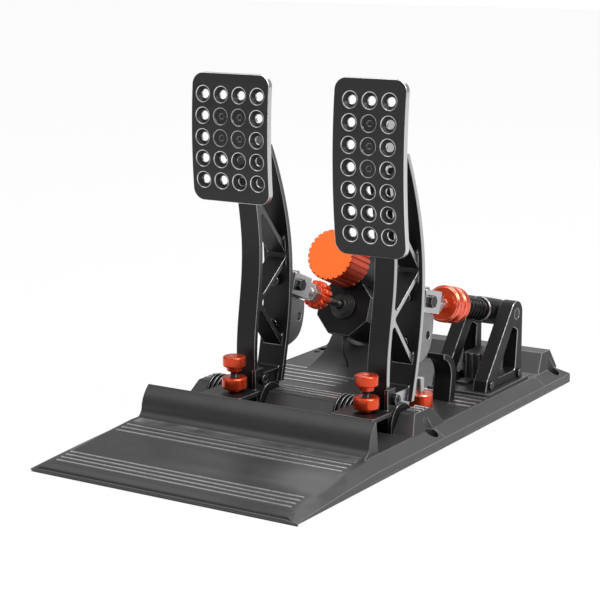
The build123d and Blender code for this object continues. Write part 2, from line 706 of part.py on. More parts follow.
# Hinge brackets: a base plate, two cheeks and a ringed barrel on the left, all in one casting
for pedal, (centre_x, lean) in pedals.items():
    with BuildPart() as bracket:
        barrel_end = HUB_REACH + RING_PITCH * (RING_COUNT - 1) + RING_THICK
        bracket_left = centre_x - barrel_end
        bracket_right = centre_x + ARM_WIDTH / 2 + CHEEK_GAP + CHEEK
        cheek_left = centre_x - ARM_WIDTH / 2 - CHEEK_GAP - CHEEK
        with BuildSketch(Plane.XY.offset(POCKET_FLOOR)):
            with Locations(((bracket_left + bracket_right) / 2, hinge_y)):
                Rectangle(bracket_right - bracket_left, 2 * RING_RADIUS)
        extrude(amount=BRACKET_BASE)
        rings = [(bracket_left + i * RING_PITCH, RING_THICK) for i in range(RING_COUNT)]
        rings += [(cheek_left, CHEEK), (bracket_right - CHEEK, CHEEK)]
        for ring_x, thick in rings:
            with BuildSketch(Plane.YZ.offset(ring_x)):
                with Locations((hinge_y, HINGE_Z)):
                    Circle(RING_RADIUS)
                with Locations((hinge_y, POCKET_FLOOR)):
                    Rectangle(2 * RING_RADIUS, HINGE_Z - POCKET_FLOOR, align=(Align.CENTER, Align.MIN))
            extrude(amount=thick)
        with BuildSketch(Plane.YZ.offset(bracket_left)):
            with Locations((hinge_y, HINGE_Z)):
                Circle(RING_HUB)
        extrude(amount=cheek_left - bracket_left)
        with BuildSketch(Plane.YZ.offset(bracket_left)):
            with Locations((hinge_y, HINGE_Z)):
                Circle(AXLE_RADIUS)
        extrude(amount=bracket_right - bracket_left, mode=Mode.SUBTRACT)
    save(bracket, f"{pedal}_hinge_bracket")

    with BuildPart() as axle:
        with BuildSketch(Plane.YZ.offset(bracket_left)):
            with Locations((hinge_y, HINGE_Z)):
                Circle(AXLE_RADIUS)
        extrude(amount=bracket_right - bracket_left)
        chamfer(axle.edges().filter_by(GeomType.CIRCLE), length=EDGE)
    save(axle, f"{pedal}_axle")

# Pedal arms: an open truss between a narrow front flange and a wide rear flange


def plate_face_u(v, depth=0.0):
    """u of the pedal plate's driver-side face at height v, or of a face behind it."""
    rise = v - plate_front_v
    radius = PLATE_RADIUS - depth
    return PLATE_FRONT_U + PLATE_RADIUS - math.sqrt(radius ** 2 - rise ** 2)


def behind_plate(v):
    """Place in the arm's frame just behind the pedal plate at height v."""
    return plate_face_u(v, PLATE_THICK + PANEL_GAP), v


head_low = behind_plate(HEAD_BOTTOM)
head_mid = behind_plate((HEAD_BOTTOM + HEAD_TOP) / 2)
head_high = behind_plate(HEAD_TOP)


def arm_outline():
    """Side outline of the arm: spline flanges, a straight foot and a round knuckle."""
    with BuildLine() as edges:
        Spline(*FRONT_EDGE, head_low, tangents=((0, 1), (-1, 1)))
        ThreePointArc(head_low, head_mid, head_high)
        Polyline(head_high, (head_high[0] + HEAD_DEPTH, HEAD_TOP), REAR_EDGE[-1])
        Spline(*REAR_EDGE)
        Line(REAR_EDGE[0], (KNUCKLE_RADIUS, 0))
        ThreePointArc((KNUCKLE_RADIUS, 0), (0, -KNUCKLE_RADIUS), (-KNUCKLE_RADIUS, 0))
        Polyline((-KNUCKLE_RADIUS, 0), (-FOOT_FRONT, FOOT_FRONT_LOW), FRONT_EDGE[0])
    make_face(edges.edges())


def rib_strip(start, end, width):
    """Rectangle along a rib, a little longer than the rib at both ends."""
    length = math.dist(start, end) + 2 * RIB_ENDS
    angle = math.degrees(math.atan2(end[1] - start[1], end[0] - start[0]))
    middle = ((start[0] + end[0]) / 2, (start[1] + end[1]) / 2)
    with Locations(Location(middle, angle)):
        Rectangle(length, width, mode=Mode.SUBTRACT)



for pedal, (centre_x, lean) in pedals.items():
    with BuildSketch(Plane.XY) as outline:
        arm_outline()
    with BuildSketch(Plane.XY) as pockets:
        with Locations((FLANGE, 0)):
            add(outline.sketch)
        with Locations((-FLANGE, 0)):
            add(outline.sketch, mode=Mode.INTERSECT)
        with Locations((0, FOOT_TOP)):
            Rectangle(4 * FOOT_FRONT, 4 * FOOT_FRONT, align=(Align.CENTER, Align.MAX), mode=Mode.SUBTRACT)
        with Locations((0, HEAD_SOLID)):
            Rectangle(6 * FOOT_FRONT, 4 * FOOT_FRONT, align=(Align.CENTER, Align.MIN), mode=Mode.SUBTRACT)
        for start, end in TRUSS:
            rib_strip(start, end, RIB)
        corners = [v for v in pockets.vertices() if abs(v.Y - FRONT_EDGE[0][1]) > RIB]
        fillet(corners, radius=POCKET_ROUND)
    with BuildPart() as arm:
        with BuildSketch(side_plane(pedal)):
            add(outline.sketch)
        extrude(amount=ARM_WIDTH / 2, both=True)
        with BuildSketch(side_plane(pedal)):
            add(outline.sketch)
            with Locations((-FLANGE, 0)):
                add(outline.sketch, mode=Mode.SUBTRACT)
            with Locations((0, REAR_EDGE[0][1] + RIB_ROOT)):
                Rectangle(6 * FOOT_FRONT, 4 * FOOT_FRONT, align=(Align.CENTER, Align.MAX), mode=Mode.SUBTRACT)
            with Locations((0, REAR_EDGE[-1][1])):
                Rectangle(6 * FOOT_FRONT, 4 * FOOT_FRONT, align=(Align.CENTER, Align.MIN), mode=Mode.SUBTRACT)
            with Locations((-2 * FOOT_FRONT, 0)):
                Rectangle(2 * FOOT_FRONT, 2 * HEAD_TOP, mode=Mode.SUBTRACT)
        extrude(amount=REAR_FLANGE_WIDTH / 2, both=True)
        with BuildSketch(side_plane(pedal)):
            add(pockets.sketch)
        extrude(amount=REAR_FLANGE_WIDTH, both=True, mode=Mode.SUBTRACT)
        with BuildSketch(side_plane(pedal)):
            with BuildLine():
                ThreePointArc(head_low, head_mid, head_high)
                Polyline(head_high, (head_high[0] + HEAD_DEPTH, HEAD_TOP),
                         (head_low[0] + HEAD_DEPTH, HEAD_BOTTOM), head_low)
            make_face()
        extrude(amount=HEAD_WIDTH / 2, both=True)
        with BuildSketch(side_plane(pedal)):
            Circle(AXLE_RADIUS + RUN_FIT)
        extrude(amount=ARM_WIDTH, both=True, mode=Mode.SUBTRACT)
        with BuildSketch(side_plane(pedal)):
            with Locations((FOOT_SCREW_U, FOOT_SCREW_V)):
                Circle(FOOT_SCREW)
        extrude(amount=ARM_WIDTH, both=True, mode=Mode.SUBTRACT)
        for screw_v, edge_u in LUG_SCREWS:
            with BuildSketch(driver_plane(pedal, PIN_U, screw_v)):
                Circle(LUG_SCREW)
            extrude(amount=PIN_U - POCKET_ROUND * 4, mode=Mode.SUBTRACT)
            with BuildSketch(driver_plane(pedal, edge_u - FLANGE - FACE_GAP, screw_v)):
                Circle(LUG_SCREW_HEAD + PANEL_GAP)
            extrude(amount=SOCKET_HEIGHT + FACE_GAP, mode=Mode.SUBTRACT)
    save(arm, f"{pedal}_arm")
    if pedal == "brake":
        arm_face = outline.sketch

# Lug plates behind the arms, bolted through the rear flange, each with the eye for a clevis pin
for pedal, (centre_x, lean) in pedals.items():
    with BuildPart() as lug:
        with BuildSketch(side_plane(pedal)):
            with BuildLine():
                Spline(*LUG_EDGE, tangents=LUG_EDGE_ENDS)
                Polyline(LUG_EDGE[-1], (LUG_FRONT, LUG_EDGE[-1][1]), (LUG_FRONT, LUG_TOP), LUG_EDGE[0])
            make_face()
            with Locations((PIN_U, PIN_V)):
                Circle(LUG_EYE)
            with Locations((PANEL_GAP, 0)):
                add(arm_face, mode=Mode.SUBTRACT)
            with Locations((PIN_U, PIN_V)):
                Circle(CLEVIS_PIN + RUN_FIT, mode=Mode.SUBTRACT)
            with Locations((LUG_EDGE[1][0] - LUG_EYE, (LUG_EDGE[1][1] + LUG_EDGE[2][1]) / 2)):
                Circle(LUG_HOLE, mode=Mode.SUBTRACT)
        extrude(amount=LUG_WIDTH / 2, both=True)
        pin, drop = rods[pedal]
        with BuildSketch(rod_plane(pin, drop, 0, -CLEVIS_SIZE / 2 - 2 * FACE_GAP)):
            Rectangle(CLEVIS_SIZE, 2 * CLEVIS_SIZE, align=(Align.CENTER, Align.MIN))
        clevis_room = extrude(amount=2 * CLEVIS_SIZE, mode=Mode.PRIVATE)
        with BuildSketch(side_plane(pedal, -LUG_WIDTH)):
            with Locations((PIN_U, PIN_V)):
                Circle(CLEVIS_SLOT_END - 2 * FACE_GAP)
        slot_room = extrude(amount=2 * LUG_WIDTH, mode=Mode.PRIVATE)
        add(clevis_room - slot_room, mode=Mode.SUBTRACT)
        for screw_v, edge_u in LUG_SCREWS:
            with BuildSketch(driver_plane(pedal, PIN_U - 2 * CLEVIS_PIN, screw_v)):
                Circle(LUG_SCREW)
            extrude(amount=PIN_U, mode=Mode.SUBTRACT)
    save(lug, f"{pedal}_lug_plate")

    with BuildPart() as arm_screws:
        for side in (-1, 1):
            with BuildSketch(side_plane(pedal, side * (ARM_WIDTH / 2 + EAR + FACE_GAP))):
                with Locations((FOOT_SCREW_U, FOOT_SCREW_V)):
                    Circle(SOCKET_HEAD)
            extrude(amount=side * SOCKET_HEIGHT)
        with BuildSketch(side_plane(pedal)):
            with Locations((FOOT_SCREW_U, FOOT_SCREW_V)):
                Circle(FOOT_SCREW)
        extrude(amount=ARM_WIDTH / 2 + EAR + FACE_GAP, both=True)
        with BuildSketch(side_plane(pedal, ARM_WIDTH / 2 + EAR + FACE_GAP + SOCKET_HEIGHT)):
            with Locations((FOOT_SCREW_U, FOOT_SCREW_V)):
                RegularPolygon(SOCKET_HEX, 6)
        extrude(amount=-SOCKET_HEIGHT / 2, mode=Mode.SUBTRACT)
    save(arm_screws, f"{pedal}_foot_screw")

    with BuildPart() as lug_screws:
        for screw_v, edge_u in LUG_SCREWS:
            head_u = edge_u - FLANGE - FACE_GAP
            with BuildSketch(driver_plane(pedal, head_u, screw_v)):
                Circle(LUG_SCREW_HEAD)
            extrude(amount=SOCKET_HEIGHT)
            with BuildSketch(driver_plane(pedal, head_u, screw_v)):
                Circle(LUG_SCREW)
            extrude(amount=-LUG_SCREW_DEPTH)
    save(lug_screws, f"{pedal}_lug_screws")


# Toe plates: a ledge in front of the arm's foot, with an ear down each side of the foot
for pedal, (centre_x, lean) in pedals.items():
    with BuildPart() as toe:
        with BuildSketch(level_plane(pedal, 0, TOE_TOP - TOE_THICK)):
            with Locations(((TOE_RIGHT - TOE_LEFT) / 2, -(TOE_FRONT + TOE_REAR) / 2)):
                RectangleRounded(TOE_RIGHT + TOE_LEFT, TOE_FRONT - TOE_REAR, POCKET_ROUND)
        extrude(amount=TOE_THICK)
        for side in (-1, 1):
            with BuildSketch(side_plane(pedal, side * ARM_WIDTH / 2)):
                with Locations((-(TOE_REAR + EAR_REAR + OVERRUN) / 2, (TOE_TOP - TOE_THICK + EAR_TOP) / 2)):
                    Rectangle(TOE_REAR - EAR_REAR + OVERRUN, EAR_TOP - TOE_TOP + TOE_THICK)
            extrude(amount=side * EAR)
        with BuildSketch(side_plane(pedal)):
            with Locations((-TOE_REAR + OVERRUN / 2, TOE_TOP - TOE_THICK / 2)):
                Rectangle(OVERRUN, TOE_THICK)
        extrude(amount=ARM_WIDTH / 2, both=True)
        with BuildSketch(side_plane(pedal)):
            Circle(RING_RADIUS + CHEEK_GAP)
        extrude(amount=ARM_WIDTH, both=True, mode=Mode.SUBTRACT)
        with BuildSketch(side_plane(pedal)):
            with Locations((FOOT_SCREW_U, FOOT_SCREW_V)):
                Circle(FOOT_SCREW)
        extrude(amount=ARM_WIDTH, both=True, mode=Mode.SUBTRACT)
        with BuildSketch(level_plane(pedal, -STOP_U, 0)):
            Circle(STOP_STEM + RUN_FIT)
        extrude(amount=FOOT_FRONT_HIGH, mode=Mode.SUBTRACT)
    save(toe, f"{pedal}_toe_plate")

    # Stop screw under the toe plate with its knurled head above, and the lock nut between them
    stop_bottom = DECK_TOP + FACE_GAP - HINGE_Z + (STOP_U * math.tan(math.radians(lean)))
    with BuildPart() as stop_screw:
        with BuildSketch(level_plane(pedal, -STOP_U, stop_bottom)):
            Circle(STOP_STEM)
        extrude(amount=KNOB_BOTTOM - stop_bottom)
        with BuildSketch(level_plane(pedal, -STOP_U, KNOB_BOTTOM)) as neck:
            Circle(KNOB_NECK)
        with BuildSketch(level_plane(pedal, -STOP_U, KNOB_BOTTOM + KNOB_CONE)) as rim:
            Circle(KNOB_RADIUS - EDGE)
        loft([neck.sketch, rim.sketch])
        with BuildSketch(level_plane(pedal, -STOP_U, KNOB_BOTTOM + KNOB_CONE)):
            Circle(KNOB_RADIUS)
        knob = extrude(amount=KNOB_RIM)
        chamfer(knob.edges().filter_by(GeomType.CIRCLE).sort_by(Axis.Z)[-1:], length=EDGE)
    save(stop_screw, f"{pedal}_stop_screw")

    with BuildPart() as lock_nut:
        with BuildSketch(level_plane(pedal, -STOP_U, TOE_TOP + FACE_GAP)):
            Circle(NUT_HUB)
        extrude(amount=NUT_HUB_HEIGHT)
        with BuildSketch(level_plane(pedal, -STOP_U, TOE_TOP + FACE_GAP + NUT_HUB_HEIGHT)):
            Circle(NUT_RADIUS)
        disc = extrude(amount=NUT_HEIGHT)
        chamfer(disc.edges().filter_by(GeomType.CIRCLE).sort_by(Axis.Z)[-1:], length=EDGE)
        with BuildSketch(level_plane(pedal, -STOP_U, TOE_TOP)):
            Circle(STOP_STEM + RUN_FIT)
        extrude(amount=KNOB_BOTTOM, mode=Mode.SUBTRACT)
    save(lock_nut, f"{pedal}_lock_nut")

# Pedal plates: bent sheet, convex towards the driver, with rows of countersunk holes
plate_sizes = {"brake": BRAKE_PLATE, "throttle": THROTTLE_PLATE}
screw_places = {
    "brake": [(column, row) for column in (1, 2) for row in (2, 3)],
    "throttle": [(1, row) for row in (3, 4, 5)],
}


def hole_plane(pedal, column, row, behind=0.0):
    """Plane on the plate's face at one hole, square to the bent sheet."""
    width, height, columns, rows, drop = plate_sizes[pedal]
    v = HEAD_TOP - drop + (row - (rows - 1) / 2) * PLATE_PITCH
    turn = math.asin((v - plate_front_v) / PLATE_RADIUS)
    back_v = v - behind * math.sin(turn)
    return driver_plane(pedal, plate_face_u(v) + behind * math.cos(turn), back_v,
                        x=(column - (columns - 1) / 2) * PLATE_PITCH, turn=turn)


for pedal, (width, height, columns, rows, drop) in plate_sizes.items():
    with BuildPart() as plate:
        with BuildSketch(side_plane(pedal, -width / 2)):
            with Locations((PLATE_FRONT_U + PLATE_RADIUS, plate_front_v)):
                Circle(PLATE_RADIUS)
                Circle(PLATE_RADIUS - PLATE_THICK, mode=Mode.SUBTRACT)
        extrude(amount=width)
        with BuildSketch(driver_plane(pedal, PLATE_FRONT_U + height / 2, HEAD_TOP - drop)):
            RectangleRounded(width, height, PLATE_CORNER)
        extrude(amount=height, mode=Mode.INTERSECT)
        for column in range(columns):
            for row in range(rows):
                with Locations(hole_plane(pedal, column, row)):
                    if (column, row) in screw_places[pedal]:
                        CounterBoreHole(PLATE_SCREW, PLATE_RING, PLATE_THICK / 2)
                    else:
                        CounterSinkHole(PLATE_HOLE, PLATE_RING)
    save(plate, f"{pedal}_plate")

    with BuildPart() as plate_screws:
        for column, row in screw_places[pedal]:
            with BuildSketch(hole_plane(pedal, column, row, PLATE_THICK / 2)):
                Circle(PLATE_RING - RUN_FIT)
                RegularPolygon(SOCKET_HEX, 6, mode=Mode.SUBTRACT)
            extrude(amount=EDGE)
            with BuildSketch(hole_plane(pedal, column, row, PLATE_THICK / 2)):
                Circle(PLATE_SCREW - RUN_FIT)
            extrude(amount=-PLATE_THICK / 2)
    save(plate_screws, f"{pedal}_plate_screws")

# Clevises, their pins and jam nuts
jam_ends = {"brake": NUT_START - FACE_GAP, "throttle": THROTTLE_NUT_END}
rod_radii = {"brake": ROD_RADIUS, "throttle": THROTTLE_ROD}
for pedal, (pin, drop) in rods.items():
    with BuildPart() as clevis:
        with BuildSketch(rod_plane(pin, drop, -CLEVIS_BACK)):
            Rectangle(CLEVIS_SIZE, CLEVIS_SIZE)
        extrude(amount=CLEVIS_BACK + CLEVIS_FRONT)
        chamfer(clevis.edges().filter_by(Axis.X), length=EDGE)
        with BuildSketch(rod_plane(pin, drop, -CLEVIS_BACK - OVERRUN)):
            Rectangle(LUG_WIDTH + 2 * FACE_GAP, 2 * CLEVIS_SIZE)
        extrude(amount=CLEVIS_BACK + CLEVIS_SLOT_END + OVERRUN, mode=Mode.SUBTRACT)
        with BuildSketch(Plane(pin, x_dir=(0, 1, 0), z_dir=(1, 0, 0))):
            Circle(CLEVIS_PIN)
        extrude(amount=CLEVIS_SIZE, both=True, mode=Mode.SUBTRACT)
        with BuildSketch(rod_plane(pin, drop, 0)):
            Circle(rod_radii[pedal])
        extrude(amount=2 * CLEVIS_FRONT, mode=Mode.SUBTRACT)
    save(clevis, f"{pedal}_clevis")

    with BuildPart() as clevis_pin:
        with BuildSketch(Plane(pin, x_dir=(0, 1, 0), z_dir=(1, 0, 0))):
            Circle(CLEVIS_PIN)
        extrude(amount=CLEVIS_SIZE / 2 + EDGE, both=True)
        with BuildSketch(Plane(pin + Vector(CLEVIS_SIZE / 2, 0, 0), x_dir=(0, 1, 0), z_dir=(1, 0, 0))):
            RegularPolygon(PIN_HEAD, 6)
        extrude(amount=PIN_HEAD_HEIGHT)
    save(clevis_pin, f"{pedal}_clevis_pin")

    with BuildPart() as jam_nut:
        with BuildSketch(rod_plane(pin, drop, jam_ends[pedal] - JAM_LENGTH)):
            RegularPolygon(JAM_RADIUS, 6)
            Circle(rod_radii[pedal], mode=Mode.SUBTRACT)
        extrude(amount=JAM_LENGTH)
    save(jam_nut, f"{pedal}_jam_nut")

# Brake pushrod with the red length nut, and the boot it passes through
with BuildPart() as pushrod:
    with BuildSketch(brake_plane(CLEVIS_SLOT_END + FACE_GAP)):
        Circle(ROD_RADIUS)
    extrude(amount=ROD_TIP - ROD_RADIUS - CLEVIS_SLOT_END - FACE_GAP)
    with BuildSketch(brake_plane(ROD_TIP - ROD_RADIUS)):
        Circle(ROD_RADIUS)
    extrude(amount=ROD_RADIUS)
    fillet(pushrod.edges().filter_by(GeomType.CIRCLE).sort_by(Axis.Y)[-1:], radius=ROD_RADIUS - RUN_FIT)
save(pushrod, "brake_pushrod")

with BuildPart() as length_nut:
    with BuildSketch(brake_plane(NUT_START)):
        Circle(RED_NUT)
        with PolarLocations(RED_NUT + EDGE, RED_NUT_LOBES):
            Circle(RED_NUT_NOTCH, mode=Mode.SUBTRACT)
        Circle(ROD_RADIUS + RUN_FIT, mode=Mode.SUBTRACT)
    extrude(amount=NUT_LENGTH)
save(length_nut, "brake_length_nut")

with BuildPart() as boot:
    with BuildSketch(brake_plane(BOOT_START)):
        Circle(BOOT_RADIUS)
    extrude(amount=HOUSING_START - BOOT_START)
    for i in range(BOOT_FOLDS):
        fold_start = BOOT_START + OVERRUN + i * (HOUSING_START - BOOT_START - OVERRUN) / BOOT_FOLDS
        with BuildSketch(brake_plane(fold_start)):
            Circle(BOOT_FOLD)
        extrude(amount=OVERRUN)
    with BuildSketch(brake_plane(BOOT_START - OVERRUN)):
        Circle(ROD_RADIUS + BOOT_BORE_GAP)
    extrude(amount=HOUSING_START, mode=Mode.SUBTRACT)
save(boot, "rod_boot")

# Brake cylinder: a round body behind an octagonal front, joined by a web to the chamber above
with BuildPart() as housing:
    with BuildSketch(brake_plane(HOUSING_START)):
        RegularPolygon(housing_corner, HOUSING_SIDES, rotation=180 / HOUSING_SIDES)
    extrude(amount=HOUSING_FLANGE)
    with BuildSketch(brake_plane(HOUSING_START)):
        Circle(HOUSING_RADIUS)
    extrude(amount=HOUSING_END - HOUSING_START)
    with BuildSketch(brake_plane(HOUSING_START)):
        with Locations((0, CHAMBER_RISE / 2)):
            Rectangle(BRIDGE_WIDTH, CHAMBER_RISE)
    extrude(amount=HOUSING_END - HOUSING_START)
    with BuildSketch(brake_plane(0, CHAMBER_RISE)):
        Circle(CHAMBER_RADIUS + PANEL_GAP)
    extrude(amount=2 * HOUSING_END, mode=Mode.SUBTRACT)
    with BuildSketch(brake_plane(HOUSING_START - OVERRUN)):
        Circle(ROD_RADIUS + BOOT_BORE_GAP)
    extrude(amount=PISTON_START - HOUSING_START, mode=Mode.SUBTRACT)
    with BuildSketch(brake_plane(PISTON_START - OVERRUN)):
        Circle(PISTON_RADIUS + RUN_FIT)
    extrude(amount=BORE_END - PISTON_START, mode=Mode.SUBTRACT)
    cut_lead_holes()
save(housing, "cylinder_housing")

with BuildPart() as piston:
    with BuildSketch(brake_plane(PISTON_START)):
        Circle(PISTON_RADIUS)
    extrude(amount=PISTON_LENGTH)
    with BuildSketch(brake_plane(PISTON_START)):
        Circle(PISTON_CUP)
    extrude(amount=ROD_TIP - PISTON_START + FACE_GAP, mode=Mode.SUBTRACT)
save(piston, "brake_piston")

with BuildPart() as chamber:
    with BuildSketch(brake_plane(CHAMBER_START, CHAMBER_RISE)):
        Circle(CHAMBER_RADIUS)
    extrude(amount=HOUSING_END - CHAMBER_START)
    chamfer(chamber.edges().filter_by(GeomType.CIRCLE).sort_by(Axis.Y)[-1:], length=2 * EDGE)
    with BuildSketch(brake_plane(NECK_START, CHAMBER_RISE)):
        Circle(NECK_RADIUS)
    extrude(amount=CHAMBER_START - NECK_START)
    with BuildSketch(brake_plane(NECK_START, CHAMBER_RISE)):
        Circle(CHAMBER_BORE)
    extrude(amount=BORE_END - NECK_START, mode=Mode.SUBTRACT)
save(chamber, "preload_chamber")

elastomer_pitch = (BORE_END - NECK_START) / ELASTOMER_COUNT
with BuildPart() as elastomers:
    for i in range(ELASTOMER_COUNT):
        with BuildSketch(brake_plane(NECK_START + i * elastomer_pitch + FACE_GAP, CHAMBER_RISE)):
            Circle(CHAMBER_BORE - FACE_GAP)
        extrude(amount=elastomer_pitch - FACE_GAP)
save(elastomers, "preload_elastomers")

with BuildPart() as cap:
    with BuildSketch(brake_plane(CAP_START, CHAMBER_RISE)):
        Circle(CAP_RADIUS)
        with PolarLocations(CAP_RADIUS, CAP_FLUTES):
            Rectangle(2 * CAP_FLUTE_DEPTH, CAP_FLUTE, mode=Mode.SUBTRACT)
    extrude(amount=CAP_LENGTH)
    with BuildSketch(brake_plane(CAP_START, CHAMBER_RISE)):
        Circle(CAP_RADIUS - CAP_FLUTE_DEPTH / 4)
    extrude(amount=EDGE)
    with BuildSketch(brake_plane(CAP_START + CAP_FACE, CHAMBER_RISE)):
        Circle(NECK_RADIUS + RUN_FIT)
    extrude(amount=CAP_LENGTH, mode=Mode.SUBTRACT)
save(cap, "preload_cap")

# Sensor lead
with BuildPart() as lead:
    with BuildLine() as lead_path:
        FilletPolyline(*lead_points, radius=lead_radii)
    with BuildSketch(Plane(lead_points[0], z_dir=lead_points[1] - lead_points[0])):
        Circle(LEAD_RADIUS)
    sweep(path=lead_path.line)
straight_volume = math.pi * LEAD_RADIUS ** 2 * lead_path.wires()[0].length
print("lead volume share", round(lead.part.volume / straight_volume, 4))
save(lead, "brake_sensor_lead")

# Throttle rod and the two red wheels that set the spring
with BuildPart() as damper_rod:
    with BuildSketch(throttle_plane(CLEVIS_SLOT_END + FACE_GAP)):
        Circle(THROTTLE_ROD)
    extrude(amount=throttle_reach - DAMPER_START + DAMPER_WALL - CLEVIS_SLOT_END)
save(damper_rod, "throttle_damper_rod")

for i, wheel_name in enumerate(("throttle_preload_wheel", "throttle_lock_wheel")):
    wheel_start = WHEEL_START + i * (WHEEL_LENGTH + WHEEL_GAP)
    with BuildPart() as wheel:
        with BuildSketch(throttle_plane(wheel_start)):
            Circle(WHEEL_RADIUS)
        extrude(amount=WHEEL_LENGTH)
        chamfer(wheel.edges().filter_by(GeomType.CIRCLE), length=WHEEL_ROUND)
        with BuildSketch(throttle_plane(wheel_start)):
            Circle(THROTTLE_ROD + RUN_FIT)
        extrude(amount=WHEEL_LENGTH, mode=Mode.SUBTRACT)
        with BuildSketch(throttle_plane(wheel_start + WHEEL_LENGTH)):
            Circle(WHEEL_RADIUS - 2 * WHEEL_ROUND)
        if i == 0:
            extrude(amount=WHEEL_GAP - FACE_GAP)
            with BuildSketch(throttle_plane(wheel_start)):
                Circle(THROTTLE_ROD + RUN_FIT)
            extrude(amount=2 * WHEEL_LENGTH, mode=Mode.SUBTRACT)
            with BuildSketch(Plane(throttle_plane(wheel_start + WHEEL_LENGTH / 2).origin, z_dir=(1, 0, 0))):
                Circle(OVERRUN)
            extrude(amount=2 * WHEEL_RADIUS, mode=Mode.SUBTRACT)
    save(wheel, wheel_name)


def helix_point(turn, start, length):
    """Point and direction of the spring's centre line after some turns."""
    angle = 2 * math.pi * turn
    plane = throttle_plane(start + length * turn / spring_turns)
    out = plane.x_dir * math.cos(angle) + plane.y_dir * math.sin(angle)
    around = plane.y_dir * math.cos(angle) - plane.x_dir * math.sin(angle)
    rise = length / spring_turns / (2 * math.pi)
    return plane.origin + out * SPRING_RADIUS, (around * SPRING_RADIUS + plane.z_dir * rise).normalized()


def join_point(start, start_way, end, end_way):
    """Where the two arcs of a smooth join between two points and directions meet."""
    chord = end - start
    both = start_way + end_way
    a = both.dot(both) - 4
    b = -2 * chord.dot(both)
    reach = (-b - math.sqrt(b * b - 4 * a * chord.dot(chord))) / (2 * a)
    return (start + start_way * reach + end - end_way * reach) / 2


spring_start = WHEEL_START + 2 * WHEEL_LENGTH + WHEEL_GAP + FACE_GAP + SPRING_WIRE
spring_length = throttle_reach - DAMPER_START - FACE_GAP - SPRING_WIRE - spring_start
spring_turns = round(spring_length / SPRING_PITCH)
stations = [helix_point(i / QUARTERS, spring_start, spring_length)
            for i in range(QUARTERS * spring_turns + 1)]
with BuildPart() as spring:
    with BuildLine() as coil:
        for (start, start_way), (end, end_way) in zip(stations, stations[1:]):
            middle = join_point(start, start_way, end, end_way)
            first = TangentArc(start, middle, tangent=start_way)
            TangentArc(middle, end, tangent=first % 1)
    with BuildSketch(Plane(stations[0][0], z_dir=stations[0][1])):
        Circle(SPRING_WIRE)
    sweep(path=coil.line)
turn_gap = spring_length / spring_turns - 2 * SPRING_WIRE
nearest = min((stations[i][0] - stations[j][0]).length - 2 * SPRING_WIRE
              for i in range(len(stations)) for j in range(i + QUARTERS, len(stations)))
print("spring: gap between turns", round(turn_gap, 2), "least gap on points", round(nearest, 2))
save(spring, "throttle_spring")

# Damper body that swings on two trunnion studs between the stand's side frames
with BuildPart() as damper:
    with BuildSketch(throttle_plane(throttle_reach - DAMPER_START)):
        Circle(DAMPER_RADIUS)
    extrude(amount=DAMPER_START + DAMPER_END)
    chamfer(damper.edges().filter_by(GeomType.CIRCLE), length=EDGE)
    for side in (-1, 1):
        with BuildSketch(Plane.YZ.offset(throttle_x + side * (DAMPER_RADIUS - DAMPER_WALL))):
            with Locations((trunnion_y, TRUNNION_Z)):
                Circle(TRUNNION_RADIUS)
        extrude(amount=side * (STAND_INNER + STAND_WIDTH - DAMPER_RADIUS + DAMPER_WALL))
    with BuildSketch(throttle_plane(throttle_reach - DAMPER_START)):
        Circle(THROTTLE_ROD + DAMPER_BORE_GAP)
    extrude(amount=DAMPER_START + DAMPER_END - DAMPER_WALL, mode=Mode.SUBTRACT)
save(damper, "throttle_damper_body")

# Stand of the damper: a sole plate and two open side frames
sole_top = DECK_TOP + SOLE_THICK
knee = (trunnion_y + STAND_KNEE[0], sole_top + STAND_KNEE[1])
stand_screw_places = [(trunnion_y + behind, sole_top + rise) for behind, rise in STAND_SCREWS]
opening = [(trunnion_y + behind, sole_top + rise) for behind, rise in STAND_OPENING_LOW]
opening += [(trunnion_y + behind, TRUNNION_Z + rise) for behind, rise in STAND_OPENING_HIGH]
knee_reach = math.dist(knee, (trunnion_y, TRUNNION_Z))
tangent_angle = math.atan2(TRUNNION_Z - knee[1], trunnion_y - knee[0]) + math.asin(STAND_HEAD / knee_reach)
middle_angle = (tangent_angle + math.pi / 2) / 2
head_start = (trunnion_y - STAND_HEAD * math.sin(tangent_angle),
              TRUNNION_Z + STAND_HEAD * math.cos(tangent_angle))
head_middle = (trunnion_y + STAND_HEAD * math.cos(middle_angle),
               TRUNNION_Z + STAND_HEAD * math.sin(middle_angle))
head_end = (trunnion_y + STAND_HEAD, TRUNNION_Z)
frames = {"stand_frame_left": throttle_x - STAND_INNER - STAND_WIDTH,
          "stand_frame_right": throttle_x + STAND_INNER}
for frame_name, frame_x in frames.items():
    with BuildPart() as frame:
        with BuildSketch(Plane.YZ.offset(frame_x)) as frame_face:
            with BuildLine():
                Polyline(head_end, (head_end[0], sole_top + STAND_ANKLE), (trunnion_y + STAND_HEEL, sole_top),
                         (trunnion_y + STAND_FOOT_FRONT, sole_top), knee, head_start)
                ThreePointArc(head_start, head_middle, head_end)
            make_face()
            with BuildLine():
                Polyline(*opening, close=True)
            make_face(mode=Mode.SUBTRACT)
            corners = [v for v in frame_face.vertices()
                       if min(math.dist((v.X, v.Y), place) for place in opening) < PANEL_GAP]
            fillet(corners, radius=POCKET_ROUND)
        extrude(amount=STAND_WIDTH)
        with BuildSketch(Plane.YZ.offset(frame_x)):
            with Locations((trunnion_y, TRUNNION_Z)):
                Circle(TRUNNION_RADIUS + RUN_FIT)
            with Locations(*stand_screw_places):
                Circle(STAND_SCREW)
        extrude(amount=STAND_WIDTH, mode=Mode.SUBTRACT)
    save(frame, frame_name)

